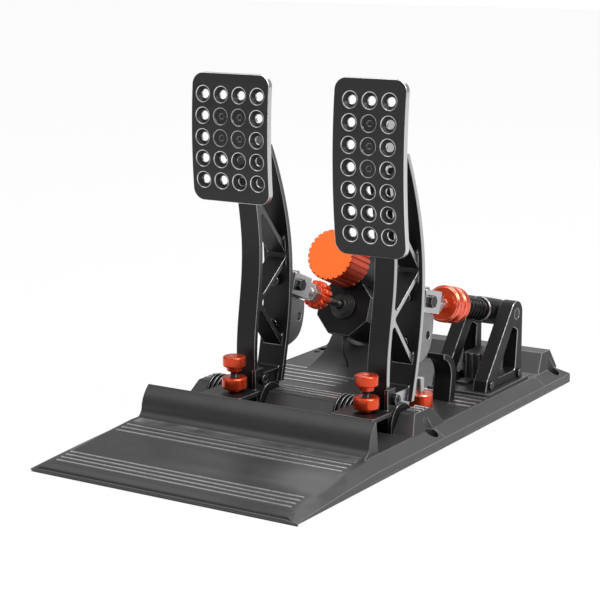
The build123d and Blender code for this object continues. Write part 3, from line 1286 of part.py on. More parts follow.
with BuildPart() as stand_screws:
    for side in (-1, 1):
        with BuildSketch(Plane.YZ.offset(throttle_x + side * (STAND_INNER + STAND_WIDTH))):
            with Locations(*stand_screw_places):
                Circle(STAND_SCREW_HEAD)
        extrude(amount=side * STAND_SCREW)
        with BuildSketch(Plane.YZ.offset(throttle_x + side * (STAND_INNER + FACE_GAP))):
            with Locations(*stand_screw_places):
                Circle(STAND_SCREW)
        extrude(amount=side * (STAND_WIDTH - FACE_GAP))
save(stand_screws, "stand_screws")

with BuildPart() as sole:
    with BuildSketch(Plane.XY.offset(DECK_TOP)):
        with Locations((throttle_x, trunnion_y + (SOLE_BEHIND - SOLE_AHEAD) / 2)):
            RectangleRounded(2 * (STAND_INNER + STAND_WIDTH + SOLE_EDGE), SOLE_AHEAD + SOLE_BEHIND, SOLE_EDGE)
    extrude(amount=SOLE_THICK)
save(sole, "stand_sole_plate")

# Rear travel stop: a fixed stud with a red wheel low on it
with BuildPart() as stop_stud:
    with BuildSketch(Plane.XY.offset(DECK_TOP / 2)):
        with Locations((throttle_x, stop_y)):
            Circle(REAR_STOP_STEM)
    extrude(amount=REAR_STOP_TOP - DECK_TOP / 2)
save(stop_stud, "travel_stop_stud")

with BuildPart() as stop_wheel:
    with BuildSketch(Plane.XY.offset(STOP_WHEEL_BOTTOM)):
        with Locations((throttle_x, stop_y)):
            Circle(STOP_WHEEL_RADIUS)
    extrude(amount=STOP_WHEEL_HEIGHT)
    chamfer(stop_wheel.edges().filter_by(GeomType.CIRCLE), length=EDGE)
    with BuildSketch(Plane.XY.offset(DECK_TOP + FACE_GAP)):
        with Locations((throttle_x, stop_y)):
            Circle(NUT_HUB)
    extrude(amount=STOP_WHEEL_BOTTOM - DECK_TOP)
    with BuildSketch(Plane.XY.offset(DECK_TOP)):
        with Locations((throttle_x, stop_y)):
            Circle(REAR_STOP_STEM + RUN_FIT)
    extrude(amount=REAR_STOP_TOP, mode=Mode.SUBTRACT)
save(stop_wheel, "travel_stop_wheel")

# Guide horn behind the rear stop, and the connector box between the side frames
outer = [(horn_y + behind, height) for behind, height in HORN_OUTER]
inner = [(horn_y + behind, height) for behind, height in HORN_INNER]
with BuildPart() as horn:
    with BuildSketch(Plane.YZ.offset(throttle_x - HORN_WIDTH / 2)):
        with BuildLine():
            ThreePointArc(*outer)
            Polyline(outer[-1], (horn_y + horn_foot, DECK_TOP), (horn_y, DECK_TOP), inner[0])
            ThreePointArc(*inner)
            Line(inner[-1], outer[0])
        make_face()
    extrude(amount=HORN_WIDTH)
    fillet(horn.edges().filter_by(Axis.X).sort_by(Axis.Z)[-2:], radius=EDGE)
save(horn, "guide_horn")

box_half = STAND_INNER - BOX_SIDE
box_front_y = trunnion_y - BOX_AHEAD
with BuildPart() as box:
    with BuildSketch(Plane.XY.offset(sole_top)):
        with Locations((throttle_x, trunnion_y + (BOX_BEHIND - BOX_AHEAD) / 2)):
            RectangleRounded(2 * box_half, BOX_AHEAD + BOX_BEHIND, POCKET_ROUND)
    extrude(amount=BOX_TOP - sole_top)
    chamfer(box.faces().sort_by(Axis.Z)[-1].edges(), length=EDGE)
    with BuildSketch(Plane.XY.offset(sole_top + BOX_SIDE)):
        for i in range(BOX_SLOTS):
            with Locations((throttle_x + (i - (BOX_SLOTS - 1) / 2) * 2 * BOX_SLOT, box_front_y)):
                Rectangle(BOX_SLOT, BOX_SLOT)
    extrude(amount=BOX_TOP, mode=Mode.SUBTRACT)
    with BuildSketch(Plane.XY.offset(sole_top)):
        with Locations((throttle_x - box_half / 2, box_front_y - BOX_TONGUE / 2 + POCKET_ROUND / 2)):
            Rectangle(box_half, BOX_TONGUE + POCKET_ROUND)
    extrude(amount=BOX_SIDE)
save(box, "connector_box")
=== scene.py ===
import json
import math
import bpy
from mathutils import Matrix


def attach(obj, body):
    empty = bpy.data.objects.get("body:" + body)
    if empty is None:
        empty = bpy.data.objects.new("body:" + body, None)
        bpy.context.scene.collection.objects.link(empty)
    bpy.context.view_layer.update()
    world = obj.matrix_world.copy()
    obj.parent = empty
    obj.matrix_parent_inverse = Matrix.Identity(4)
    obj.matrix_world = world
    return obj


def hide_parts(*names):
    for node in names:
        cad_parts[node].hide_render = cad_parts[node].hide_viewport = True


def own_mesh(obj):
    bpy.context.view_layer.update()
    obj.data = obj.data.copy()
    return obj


bl_info = {
    "name": "Sim racing pedal set",
    "version": (1, 0, 0),
    "blender": (4, 5, 0),
    "location": "View3D > Sidebar > Pedal set",
    "description": "Finishes and fine forms for a two-pedal sim racing set",
    "category": "Object",
}

import bmesh
import bpy
import numpy as np
from mathutils import Matrix, Vector

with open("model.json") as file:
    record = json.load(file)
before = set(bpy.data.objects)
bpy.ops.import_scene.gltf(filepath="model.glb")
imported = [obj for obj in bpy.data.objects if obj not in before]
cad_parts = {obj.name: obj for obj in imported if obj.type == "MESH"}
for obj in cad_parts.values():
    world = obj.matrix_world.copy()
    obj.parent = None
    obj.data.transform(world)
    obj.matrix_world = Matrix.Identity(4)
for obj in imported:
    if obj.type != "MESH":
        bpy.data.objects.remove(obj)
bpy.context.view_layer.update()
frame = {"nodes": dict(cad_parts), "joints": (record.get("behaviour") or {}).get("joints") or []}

MM = 0.001
PEDALS = ("brake", "throttle")
WHITE = (1.0, 1.0, 1.0, 1.0)
EVEN = (1, 1, 1)

# Measures below are millimetres in the row's frame, unless a comment says otherwise.

# Decks: the CAD's ribs stand at these y places and heights above the deck, and the saddle under
# the cylinder has a sloped left side, drawn in at its foot and at its top by two amounts.
DECK_TOP = 15.5
CAD_RIB_HEIGHTS = (0.1, 0.8)
CAD_RIB_PLACES = (52.0, 92.0)
SADDLE_FRONT = 87.5
SADDLE_LEFT = -87.4
SADDLE_SLOPE = math.radians(70)
SADDLE_RISE = 24.5
SADDLE_DRAWN_IN = (13.0, 5.0)

# Heel plate: front edge, length, and the heights of its top at the front, middle and back.
HEEL_FRONT = -221.0
HEEL_LENGTH = 109.0
HEEL_TOPS = (3.4, 10.4, 15.5)

# Ribs. A row is (first y, pitch, count), and a span is (left x, right x).
HEEL_RIBS = (((-203.0, 5.4, 4), (-106.5, 101.0)), ((-137.2, 6.7, 3), (-102.0, 101.0)))
HEEL_RIB_HALF = 0.75
HEEL_RIB_RISE = 0.7
HEEL_RIB_DEPTH = 1.8
BRAKE_DECK_ROW = (54.4, 10.0, 5)
BRAKE_DECK_SPAN = (-101.0, -21.0)
THROTTLE_DECK_ROW = (57.0, 9.7, 4)
THROTTLE_DECK_SPAN = (36.0, 103.6)
HORN_SPANS = ((36.0, 66.6), (83.4, 103.6))
HORN_ROWS = 2
DECK_RIB_HALF = 0.9
DECK_RIB_HEIGHTS = (15.3, 16.25)
BLOCK_RIBS = (-21.55, -15.75, -9.95)
BLOCK_SPANS = ((-100.5, -90.2), (-30.6, 29.8), (89.4, 100.5))
BLOCK_RIB_HALF = 0.7
BLOCK_RIB_HEIGHTS = (29.95, 30.75)

# Sections of the two mouldings, as (y, z).
HUMP_FOOT = [(-117.4, 14.8), (-117.2, 15.85), (-115.5, 15.95), (-113.0, 15.95), (-110.8, 16.15),
             (-109.2, 16.6), (-110.0, 15.4)]
HUMP_FOOT_END = 101.0
HEEL_LIP = [(-219.4, 0.3), (-221.0, 0.3), (-220.9, 1.2), (-219.3, 4.7), (-218.6, 5.0),
            (-217.6, 5.05), (-210.0, 5.15), (-211.0, 3.6), (-218.2, 2.2)]
HEEL_LIP_END = 117.0
HEEL_LIP_MITRE = 1.9

# Sensor lead: control points from the cylinder's flange down to the deck.
LEAD_RADIUS = 1.1
LEAD_ROUTE = ((-40.0, 101.25, 48.36), (-40.0, 98.0, 40.0), (-40.0, 99.6, 31.5),
              (-40.0, 104.6, 25.0), (-40.0, 106.6, 16.5))
GROMMET_SINK = 1.6

# Profiles of turned shapes, as (height along the axis, radius).
GROMMET = [(-0.6, 1.15), (-0.6, 2.3), (0.9, 2.2), (2.6, 1.5), (2.6, 1.15)]
KNOB = [(1.2, 0.0), (1.2, 6.0), (4.4, 6.2), (4.8, 8.4), (5.5, 9.0), (12.2, 9.0), (13.0, 8.2),
        (13.0, 3.0), (12.6, 0.0)]
LOCK_NUT = [(-5.7, 3.3), (-5.7, 5.0), (-3.1, 5.2), (-3.1, 9.2), (-2.2, 10.0), (5.2, 10.0),
            (6.3, 9.0), (6.3, 4.4), (5.9, 3.3)]
CAP_SHELL = [(-15.4, 0.0), (-15.4, 21.6), (-14.9, 22.0), (15.2, 22.0), (15.5, 21.6), (15.5, 18.1),
             (-11.4, 18.1), (-11.4, 0.0)]
CAP_FACE = [(-15.5, 0.0), (-15.5, 19.6), (-15.5, 20.2), (-15.5, 21.3), (-15.35, 21.5),
            (-15.2, 21.5), (-15.2, 0.0)]
LENGTH_NUT = [(-6.5, 3.6), (-6.5, 10.8), (-5.6, 12.0), (2.4, 12.0), (3.2, 10.8), (3.2, 6.2),
              (5.4, 5.4), (5.4, 3.6)]
RUBBER_FOOT = [(0.35, 0.0), (0.35, 4.0), (0.0, 4.6), (0.0, 7.9), (0.9, 8.9), (2.2, 8.9),
               (2.2, 0.0)]
FOOT_PLACES = [(side * 87.0, y) for side in (-1, 1) for y in (-191, 0, 191)]

# Stop screw's thread: it starts this far below the joint, up to just under the knob.
THREAD_START = -34.0
THREAD_END = 1.0
THREAD_PITCH = 1.0
THREAD_RADIUS = 3.2
THREAD_DEPTH = 0.28

# Brake rod's line: boot and elastomers lie this far from the rod's pivot, along the line.
BOOT_START = 84.0
BOOT_FOLDS_START = 84.5
BOOT_FOLDS_LENGTH = 7.1
BOOT_FOLDS = 3
BOOT_END = 91.9
BOOT_BORE = 4.4
ELASTOMER_START = 58
ELASTOMER_PITCH = 28
ELASTOMERS = 3
CHAMBER_RISE = 36.6

# Throttle spring, along the line from the rod's pivot to the trunnion.
SPRING_START = 62.5
SPRING_END = 103.6
SPRING_TURNS = 8
SPRING_RADIUS = 7.9
SPRING_WIRE = 1.05

# Edge strips: faces closer than the first angle are one face, and an edge sharper than the second
# is cut off. Both in degrees.
FLAT_ANGLE = 0.6
SHARP_ANGLE = 35.0

# Stage, in metres.
FLOOR_HALF = 6.0
LAMP_AIM = (0.0, 0.0, 0.1)
LAMPS = (("key", (-0.9, -1.0, 1.5), 1.1), ("right", (1.2, -0.1, 1.35), 0.8),
         ("back", (-0.4, 1.5, 1.2), 1.2), ("top", (0.2, 0.1, 1.7), 1.0))


# Shader helpers


class Nodes:
    """One node tree, with short calls for the nodes that the finishes and the sky use."""

    def __init__(self, tree):
        self.tree = tree
        self.tree.nodes.clear()

    def put(self, socket, value):
        """Link a socket to another socket, or set it to a plain value."""
        if isinstance(value, bpy.types.NodeSocket):
            self.tree.links.new(value, socket)
        else:
            socket.default_value = value

    def node(self, kind, inputs=(), **settings):
        """A new node of a kind, with its own settings, and its inputs linked or set."""
        made = self.tree.nodes.new("ShaderNode" + kind)
        for key, value in settings.items():
            setattr(made, key, value)
        for key, value in dict(inputs).items():
            self.put(made.inputs[key], value)
        return made

    def math(self, operation, first, second=0.0):
        """One step of arithmetic."""
        return self.node("Math", {0: first, 1: second}, operation=operation).outputs[0]


class Shader(Nodes):
    """A material with one principled surface, shaded in object coordinates."""

    def __init__(self, name):
        self.material = bpy.data.materials.new(name)
        self.material.use_nodes = True
        super().__init__(self.material.node_tree)
        self.surface = self.node("BsdfPrincipled")
        self.output = self.node("OutputMaterial", {"Surface": self.surface.outputs["BSDF"]})
        self.coords = self.node("TexCoord").outputs

    def ramp(self, value, low, high, start=0.0, end=1.0):
        """Smooth step: start below low, end above high."""
        made = self.node("MapRange", {"Value": value, "From Min": low, "From Max": high,
                                      "To Min": start, "To Max": end},
                         interpolation_type="SMOOTHSTEP")
        return made.outputs["Result"]

    def vary(self, noise, start, end):
        """The middle part of a noise, spread from start to end."""
        return self.ramp(noise, 0.3, 0.7, start, end)

    def mix(self, share, first, second):
        """Blend of two colours, the second one where share is one."""
        made = self.node("Mix", data_type="RGBA")
        self.put(made.inputs["Factor"], share)
        colours = [s for s in made.inputs if s.type == "RGBA"]
        self.put(colours[0], first)
        self.put(colours[1], second)
        return next(s for s in made.outputs if s.type == "RGBA")

    def noise(self, scale, detail=2.0, stretch=EVEN):
        """Noise on object coordinates; stretch divides its grain along each axis."""
        place = self.node("Mapping", {"Vector": self.coords["Object"], "Scale": stretch})
        made = self.node("TexNoise", {"Vector": place.outputs["Vector"], "Scale": scale,
                                      "Detail": detail})
        return made.outputs["Fac"]

    def normal_part(self, axis):
        """How far the surface faces along one object axis, without its sign."""
        split = self.node("SeparateXYZ", {"Vector": self.coords["Normal"]})
        return self.math("ABSOLUTE", split.outputs[axis])

    def bump(self, height, strength, distance):
        """Relief from a height, with its depth in metres."""
        made = self.node("Bump", {"Height": height, "Strength": strength, "Distance": distance})
        self.put(self.surface.inputs["Normal"], made.outputs["Normal"])

    def set(self, **values):
        """Link or set inputs of the surface, named with _ in place of a space."""
        for key, value in values.items():
            self.put(self.surface.inputs[key.replace("_", " ")], value)


def shade(colour, factor):
    """A colour made lighter or darker, with full alpha."""
    return (colour[0] * factor, colour[1] * factor, colour[2] * factor, 1.0)


def coated_metal(name, colour, roughness=0.42, grain=1500.0, depth=0.00004, mottle=0.12,
                 shine=0.4):
    """Powder-coated metal: a fine orange-peel grain, a slow mottle and unevenly rubbed gloss."""
    s = Shader(name)
    slow = s.noise(scale=26.0, detail=3.0)
    s.set(Base_Color=s.mix(slow, shade(colour, 1 - mottle), shade(colour, 1 + mottle)),
          Roughness=s.vary(s.noise(scale=75.0, detail=3.0), roughness - 0.02, roughness + 0.03),
          Specular_IOR_Level=shine)
    s.bump(s.noise(scale=grain), strength=0.5, distance=depth)
    return s


def machined_metal(name, colour, roughness=0.3, stretch=(1, 1, 24), scale=420.0, depth=0.00002):
    """Bare metal with fine tool lines across one axis and faint stains."""
    s = Shader(name)
    lines = s.noise(scale=scale, stretch=stretch)
    stain = s.noise(scale=90.0, detail=3.0)
    s.set(Base_Color=s.mix(stain, shade(colour, 0.86), shade(colour, 1.08)), Metallic=1.0,
          Roughness=s.vary(lines, roughness - 0.07, roughness + 0.09))
    s.bump(lines, strength=0.35, distance=depth)
    return s


def anodised_metal(name, colour, roughness=0.26, metal=0.72, film=0.15):
    """Dyed anodised aluminium: coloured metal under a thin clear film, with tool lines."""
    s = Shader(name)
    lines = s.noise(scale=900.0, stretch=(1, 1, 6))
    slow = s.noise(scale=60.0)
    s.set(Base_Color=s.mix(slow, shade(colour, 0.88), shade(colour, 1.1)), Metallic=metal,
          Roughness=s.vary(lines, roughness - 0.05, roughness + 0.07),
          Coat_Weight=film, Coat_Roughness=0.18)
    s.bump(lines, strength=0.1, distance=0.00001)
    return s


def edge_machined(name, coat, bare, mask_of):
    """Coated metal whose cut faces are bare: mask_of(shader) is one on the cut faces."""
    s = Shader(name)
    mask = mask_of(s)
    slow = s.noise(scale=30.0, detail=3.0)
    lines = s.noise(scale=500.0, stretch=(1, 9, 1))
    coat_colour = s.mix(slow, shade(coat, 0.88), shade(coat, 1.12))
    bare_colour = s.mix(lines, shade(bare, 0.9), shade(bare, 1.08))
    rough = s.node("Mix", {"Factor": mask, 2: s.vary(slow, 0.36, 0.46),
                           3: s.vary(lines, 0.23, 0.36)}, data_type="FLOAT")
    s.set(Base_Color=s.mix(mask, coat_colour, bare_colour), Metallic=mask,
          Roughness=rough.outputs[0], Specular_IOR_Level=0.35)
    s.bump(s.noise(scale=1300.0), strength=0.4, distance=0.00003)
    return s


def side_faces(shader):
    """One on faces that look left or right."""
    return shader.ramp(shader.normal_part("X"), 0.85, 0.95)


def outer_rim(shader):
    """One on the plate's rim, and nought on its faces and the cones of its holes."""
    return shader.ramp(shader.normal_part("Y"), 0.45, 0.3)


def soft_rubber(name, colour, roughness=0.62):
    """Moulded rubber: fine grain, a dusty mottle and low gloss."""
    s = Shader(name)
    dust = s.noise(scale=120.0, detail=4.0)
    s.set(Base_Color=s.mix(dust, shade(colour, 0.8), shade(colour, 1.5)),
          Roughness=s.vary(dust, roughness - 0.05, roughness + 0.1))
    s.bump(s.noise(scale=1600.0), strength=0.5, distance=0.00004)
    return s


def dress(node, shader):
    """Put one finish on a CAD node."""
    obj = frame["nodes"][node]
    if not obj.material_slots:
        obj.data.materials.append(shader.material)
    for slot in obj.material_slots:
        slot.material = shader.material


# Shapes


def joint_line(name):
    """Place and direction of a joint's axis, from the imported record."""
    joint = next(j for j in frame["joints"] if j["name"] == name)
    return np.array(joint["pos_m"], float), np.array(joint["axis"], float)


def square_axes(axis):
    """Two unit directions that make a right-handed set with an axis, the second one as upright
    as can be."""
    axis = axis / np.linalg.norm(axis)
    flat = np.array((1.0, 0.0, 0.0)) if abs(axis[0]) < 0.9 else np.array((0.0, 1.0, 0.0))
    second = np.cross(axis, flat)
    second /= np.linalg.norm(second)
    return np.cross(second, axis), second


def grid_faces(rows, columns):
    """Four-sided faces of a grid of rows x columns points, closed round the columns."""
    i, j = np.meshgrid(np.arange(rows - 1), np.arange(columns), indexing="ij")
    i, j = i.ravel(), j.ravel()
    k = (j + 1) % columns
    corners = (i * columns + j, i * columns + k, (i + 1) * columns + k, (i + 1) * columns + j)
    return np.stack(corners, axis=1).tolist()


def add_piece(name, data, body):
    """An object at the origin that rides on a body."""
    obj = bpy.data.objects.new(name, data)
    bpy.context.scene.collection.objects.link(obj)
    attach(obj, body)
    return obj


def make_piece(name, points, faces, shader, body, slot, smooth_below=34.0):
    """A mesh piece from points in metres and lists of corners."""
    mesh = bpy.data.meshes.new(name)
    mesh.from_pydata(points.tolist(), [], faces)
    mesh.validate()
    mesh.update()
    mesh.shade_smooth()
    mesh.set_sharp_from_angle(angle=math.radians(smooth_below))
    mesh.materials.append(shader.material)
    return add_piece(name, mesh, body)


def turned_shape(place, axis, profile, count=96, wave=None):
    """Points and faces of a turned shape. Point (t, a) = place + axis * h(t) + (first * cos a
    + second * sin a) * r(t, a), where the profile lists h and r, and wave(h, r, a) may change r.
    Ends with r = 0 become poles, and a profile that ends where it starts closes on itself."""
    profile = np.array(profile, float)
    first, second = square_axes(axis)
    angle = np.linspace(0.0, 2 * np.pi, count, endpoint=False)[None, :]
    height = np.repeat(profile[:, :1], count, axis=1)
    radius = np.repeat(profile[:, 1:], count, axis=1)
    if wave is not None:
        radius = wave(height, radius, angle)
    spread = first * np.cos(angle)[..., None] + second * np.sin(angle)[..., None]
    points = place + (axis * height[..., None] + spread * radius[..., None]) * MM
    last = len(profile) - 1
    poles = [row for row in (0, last) if profile[row, 1] == 0.0]
    keep = [row for row in range(last + 1) if row not in poles]
    closed = not poles and np.allclose(profile[0], profile[-1])
    if closed:
        keep = keep[:-1]
    faces = grid_faces(len(keep), count)
    start = (len(keep) - 1) * count
    if closed:
        faces += [(start + j, start + (j + 1) % count, (j + 1) % count, j) for j in range(count)]
    all_points = [points[keep].reshape(-1, 3)]
    total = len(keep) * count
    for row in poles:
        ring = 0 if row == 0 else start
        step = 1 if row == 0 else 0
        faces += [(total, ring + (j + step) % count, ring + (j + 1 - step) % count)
                  for j in range(count)]
        all_points.append(points[row, :1])
        total += 1
    return np.concatenate(all_points), faces


def turned(name, place, axis, profile, shader, body, slot, count=96, wave=None, **settings):
    """One turned piece."""
    points, faces = turned_shape(place, axis, profile, count, wave)
    return make_piece(name, points, faces, shader, body, slot, **settings)


def turned_row(name, lines, profile, shader, body, slot, count=48):
    """The same turned shape at several places, each with its own axis, in one piece."""
    points, faces, start = [], [], 0
    for place, axis in lines:
        shape, corners = turned_shape(np.array(place, float), np.array(axis, float), profile,
                                      count)
        points.append(shape)
        faces += [tuple(start + corner for corner in face) for face in corners]
        start += len(shape)
    return make_piece(name, np.concatenate(points), faces, shader, body, slot)


def edged(node, coat, bright, body, width=0.4, smooth_below=12.0, level=None):
    """A copy of a CAD node whose sharp edges are cut off by a narrow strip in the second material.
    The strip is a real chamfer; its lighter colour is painted edge highlight. Its triangles are
    joined, flat faces made whole, and each sharp edge gives way to a strip of two faces.
    level(work) may move corners of the copy before that."""
    mesh = frame["nodes"][node].data.copy()
    mesh.name = node + "_edged"
    mesh.materials.clear()
    for shader in (coat, bright):
        mesh.materials.append(shader.material)
    work = bmesh.new()
    work.from_mesh(mesh)
    bmesh.ops.remove_doubles(work, verts=work.verts, dist=0.000002)
    if level is not None:
        level(work)
        bmesh.ops.remove_doubles(work, verts=work.verts, dist=0.00001)
    bmesh.ops.dissolve_limit(work, angle_limit=math.radians(FLAT_ANGLE), verts=work.verts,
                             edges=work.edges)
    sharp = [edge for edge in work.edges if len(edge.link_faces) == 2
             and edge.calc_face_angle(0.0) > math.radians(SHARP_ANGLE)]
    bmesh.ops.bevel(work, geom=sharp, offset=width * MM, offset_type="OFFSET", segments=2,
                    profile=0.5, affect="EDGES", clamp_overlap=False, material=1)
    bmesh.ops.triangulate(work, faces=[face for face in work.faces if len(face.verts) > 4])
    work.to_mesh(mesh)
    work.free()
    mesh.shade_smooth()
    mesh.set_sharp_from_angle(angle=math.radians(smooth_below))
    obj = add_piece(node + "_edged", mesh, body)
    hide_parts(node)
    return obj


def level_deck(work):
    """Level the CAD's ribs, whose bare tops are pieces of their own, and draw in the saddle's
    left side: a corner on it moves right by the foot's share and the top's share of the rise."""
    for vert in work.verts:
        x, y, z = (part / MM for part in vert.co)
        above = z - DECK_TOP
        in_rows = CAD_RIB_PLACES[0] < y < CAD_RIB_PLACES[1]
        if CAD_RIB_HEIGHTS[0] < above < CAD_RIB_HEIGHTS[1] and in_rows:
            vert.co.z = DECK_TOP * MM
        side = SADDLE_LEFT + above / math.tan(SADDLE_SLOPE)
        if y > SADDLE_FRONT and above > -0.05 and abs(x - side) < 0.5:
            share = above / SADDLE_RISE
            vert.co.x += (SADDLE_DRAWN_IN[0] * (1 - share) + SADDLE_DRAWN_IN[1] * share) * MM


def rounded(corners, radius, steps=4, closed=False):
    """Profile whose inner corners are rounded: each corner gives way to a quadratic curve
    between the points that lie radius before and after it, or half the shorter side away if that
    is less."""
    corners = [np.array(corner, float) for corner in corners]
    out = []
    count = len(corners)
    for i, corner in enumerate(corners):
        if not closed and i in (0, count - 1):
            out.append(corner)
            continue
        sides = [other - corner for other in (corners[i - 1], corners[(i + 1) % count])]
        lengths = [np.linalg.norm(side) for side in sides]
        reach = min(radius, 0.49 * min(lengths))
        a, b = (corner + side * reach / length for side, length in zip(sides, lengths))
        t = np.linspace(0, 1, steps + 1)[:, None]
        out.extend(a * (1 - t) ** 2 + 2 * corner * t * (1 - t) + b * t ** 2)
    if closed:
        out.append(out[0])
    return np.array(out)


def tube(name, path, radius, shader, body, slot, count=14):
    """A round tube along a path, all in metres. Point (t, a) = path(t) + radius * (n(t) cos a
    + b(t) sin a) with n and b square to the path; both ends are closed by a pole."""
    way = np.gradient(path, axis=0)
    way /= np.linalg.norm(way, axis=1)[:, None]
    lead = np.array((1.0, 0.0, 0.0)) if abs(way[0, 0]) < 0.8 else np.array((0.0, 0.0, 1.0))
    normals = []
    for direction in way:
        lead = lead - direction * (lead @ direction)
        lead = lead / np.linalg.norm(lead)
        normals.append(lead)
    normals = np.array(normals)
    others = np.cross(way, normals)
    angle = np.linspace(0, 2 * np.pi, count, endpoint=False)[None, :, None]
    ring = normals[:, None, :] * np.cos(angle) + others[:, None, :] * np.sin(angle)
    points = (path[:, None, :] + ring * radius).reshape(-1, 3)
    faces = grid_faces(len(path), count)
    last = (len(path) - 1) * count
    total = len(points)
    faces += [(total, (j + 1) % count, j) for j in range(count)]
    faces += [(total + 1, last + j, last + (j + 1) % count) for j in range(count)]
    points = np.concatenate((points, path[:1], path[-1:]))
    return make_piece(name, points, faces, shader, body, slot)


def bars(name, boxes, shader, body, slot, crown=0.12):
    """Low bars with a slightly crowned top. Each box is (x0, x1, y0, y1, z0, z1); across a bar's
    width the top is z1 - crown * (2 s - 1)^2 for s from 0 to 1."""
    points, faces = [], []
    share = np.linspace(0, 1, 7)
    for x0, x1, y0, y1, z0, z1 in boxes:
        top = np.stack((y0 + (y1 - y0) * share, z1 - crown * (2 * share - 1) ** 2), axis=1)
        ring = np.concatenate(([(y0, z0)], top, [(y1, z0)]))
        start = len(points)
        count = len(ring)
        for x in (x0, x1):
            points.extend([(x * MM, y * MM, z * MM) for y, z in ring])
        faces += [(start + j, start + count + j, start + count + (j + 1) % count,
                   start + (j + 1) % count) for j in range(count)]
        faces.append(tuple(start + j for j in range(count)))
        faces.append(tuple(start + count + j for j in reversed(range(count))))
    return make_piece(name, np.array(points), faces, shader, body, slot, smooth_below=20.0)


def moulding(name, section, halves, shader, body, slot):
    """A straight moulding along x. Its section is a closed list of (y, z), and halves gives for
    each of those points the two x places where it ends, so that the ends may be mitred."""
    section = np.array(section, float)
    halves = np.array(halves, float)
    count = len(section)
    rings = [np.column_stack((halves[:, side], section)) * MM for side in (0, 1)]
    faces = [(j, (j + 1) % count, count + (j + 1) % count, count + j) for j in range(count)]
    faces += [tuple(reversed(range(count))), tuple(range(count, 2 * count))]
    return make_piece(name, np.concatenate(rings), faces, shader, body, slot, smooth_below=25.0)


def heel_height(y):
    """Height of the heel plate's top: the parabola through its three heights at the shares 0,
    1/2 and 1 of its length."""
    front, middle, back = HEEL_TOPS
    share = (y - HEEL_FRONT) / HEEL_LENGTH
    bend = 2 * (front + back) - 4 * middle
    return front + (back - front - bend) * share + bend * share ** 2


def rib_rows(row, spans, half, heights):
    """Boxes of ribs at the rising places of a row, each over the same spans."""
    first, pitch, count = row
    return [(x0, x1, y - half, y + half, *heights)
            for y in (first + i * pitch for i in range(count)) for x0, x1 in spans]


def spring_path(pin, axis):
    """Centre line of the coil. Point t = pin + axis * h(t) + (first * cos a + second * sin a)
    * radius, where a runs through all turns and h rises slowly in the first and the last turn, so
    that the end turns lie flat."""
    first, second = square_axes(axis)
    turns = SPRING_TURNS
    t = np.linspace(0, 1, turns * 40 + 1)
    entry = np.clip(t * turns, 0, 1)
    middle = np.clip(t * turns - 1, 0, turns - 2)
    exit_turn = np.clip(t * turns - turns + 1, 0, 1)
    ease = entry ** 2 / 2 + middle + (exit_turn - exit_turn ** 2 / 2)
    height = SPRING_START + (SPRING_END - SPRING_START) * ease / ease[-1]
    angle = 2 * np.pi * turns * t
    around = (first * (SPRING_RADIUS * np.cos(angle))[:, None]
              + second * (SPRING_RADIUS * np.sin(angle))[:, None])
    return pin + (axis * height[:, None] + around) * MM


# Settings


def colour_setting(name, description, default):
    """A colour property."""
    return bpy.props.FloatVectorProperty(name=name, description=description, subtype="COLOR",
                                         size=3, min=0.0, max=1.0, default=default)


def angle_setting(name, description, degrees):
    """An angle property, from its default in degrees."""
    return bpy.props.FloatProperty(name=name, description=description, subtype="ANGLE",
                                   default=math.radians(degrees))


def number_setting(name, description, default, unit="NONE"):
    """A number property with a unit."""
    return bpy.props.FloatProperty(name=name, description=description, default=default, unit=unit)


class FinishSettings(bpy.types.PropertyGroup):
    """Colours of the finishes."""

    panel: colour_setting("Panel", "Coating of the base", (0.03, 0.03, 0.031))
    casting: colour_setting("Casting", "Coating of the brackets, cylinder and stand",
                            (0.006, 0.006, 0.0065))
    arm: colour_setting("Arm", "Coating of the pedal arms", (0.008, 0.008, 0.009))
    plate: colour_setting("Plate", "Coating of the pedal plates", (0.022, 0.022, 0.024))
    # bare colours the real cut faces and also most edge strips, whose lightness there is painted
    # highlight
    bare: colour_setting("Bare metal", "Cut edges and faces", (0.82, 0.82, 0.83))
    steel: colour_setting("Steel", "Clevises, screws and axles", (0.5, 0.5, 0.51))
    red: colour_setting("Red", "Anodised wheels and nuts", (0.7, 0.065, 0.016))
    orange: colour_setting("Orange", "Face of the preload cap", (1.0, 0.17, 0.02))
    rubber: colour_setting("Rubber", "Boot and feet", (0.012, 0.012, 0.012))


class StageSettings(bpy.types.PropertyGroup):
    """Lamps, sky and camera."""

    lens: number_setting("Lens", "Focal length", 107.39, "CAMERA")
    place: bpy.props.FloatVectorProperty(name="Camera place", description="Where the camera stands",
                                         unit="LENGTH", default=(0.7335, -1.1804, 0.4011))
    azimuth: angle_setting("Azimuth", "Camera's turn about the vertical", 32.592)
    elevation: angle_setting("Elevation", "Camera's rise above the level", 12.145)
    roll: angle_setting("Roll", "Camera's turn about its own axis", -0.289)
    key: number_setting("Key", "Power of the main lamp", 5.0, "POWER")
    right: number_setting("Right", "Power of the lamp on the right", 34.0, "POWER")
    back: number_setting("Back", "Power of the lamp behind", 7.0, "POWER")
    top: number_setting("Top", "Power of the lamp above", 20.0, "POWER")
    gloss: number_setting("Gloss", "How much of the white metal sees, 0 to 1", 0.15)
    sky: number_setting("Sky", "Strength of the even light", 0.3)


# Operators


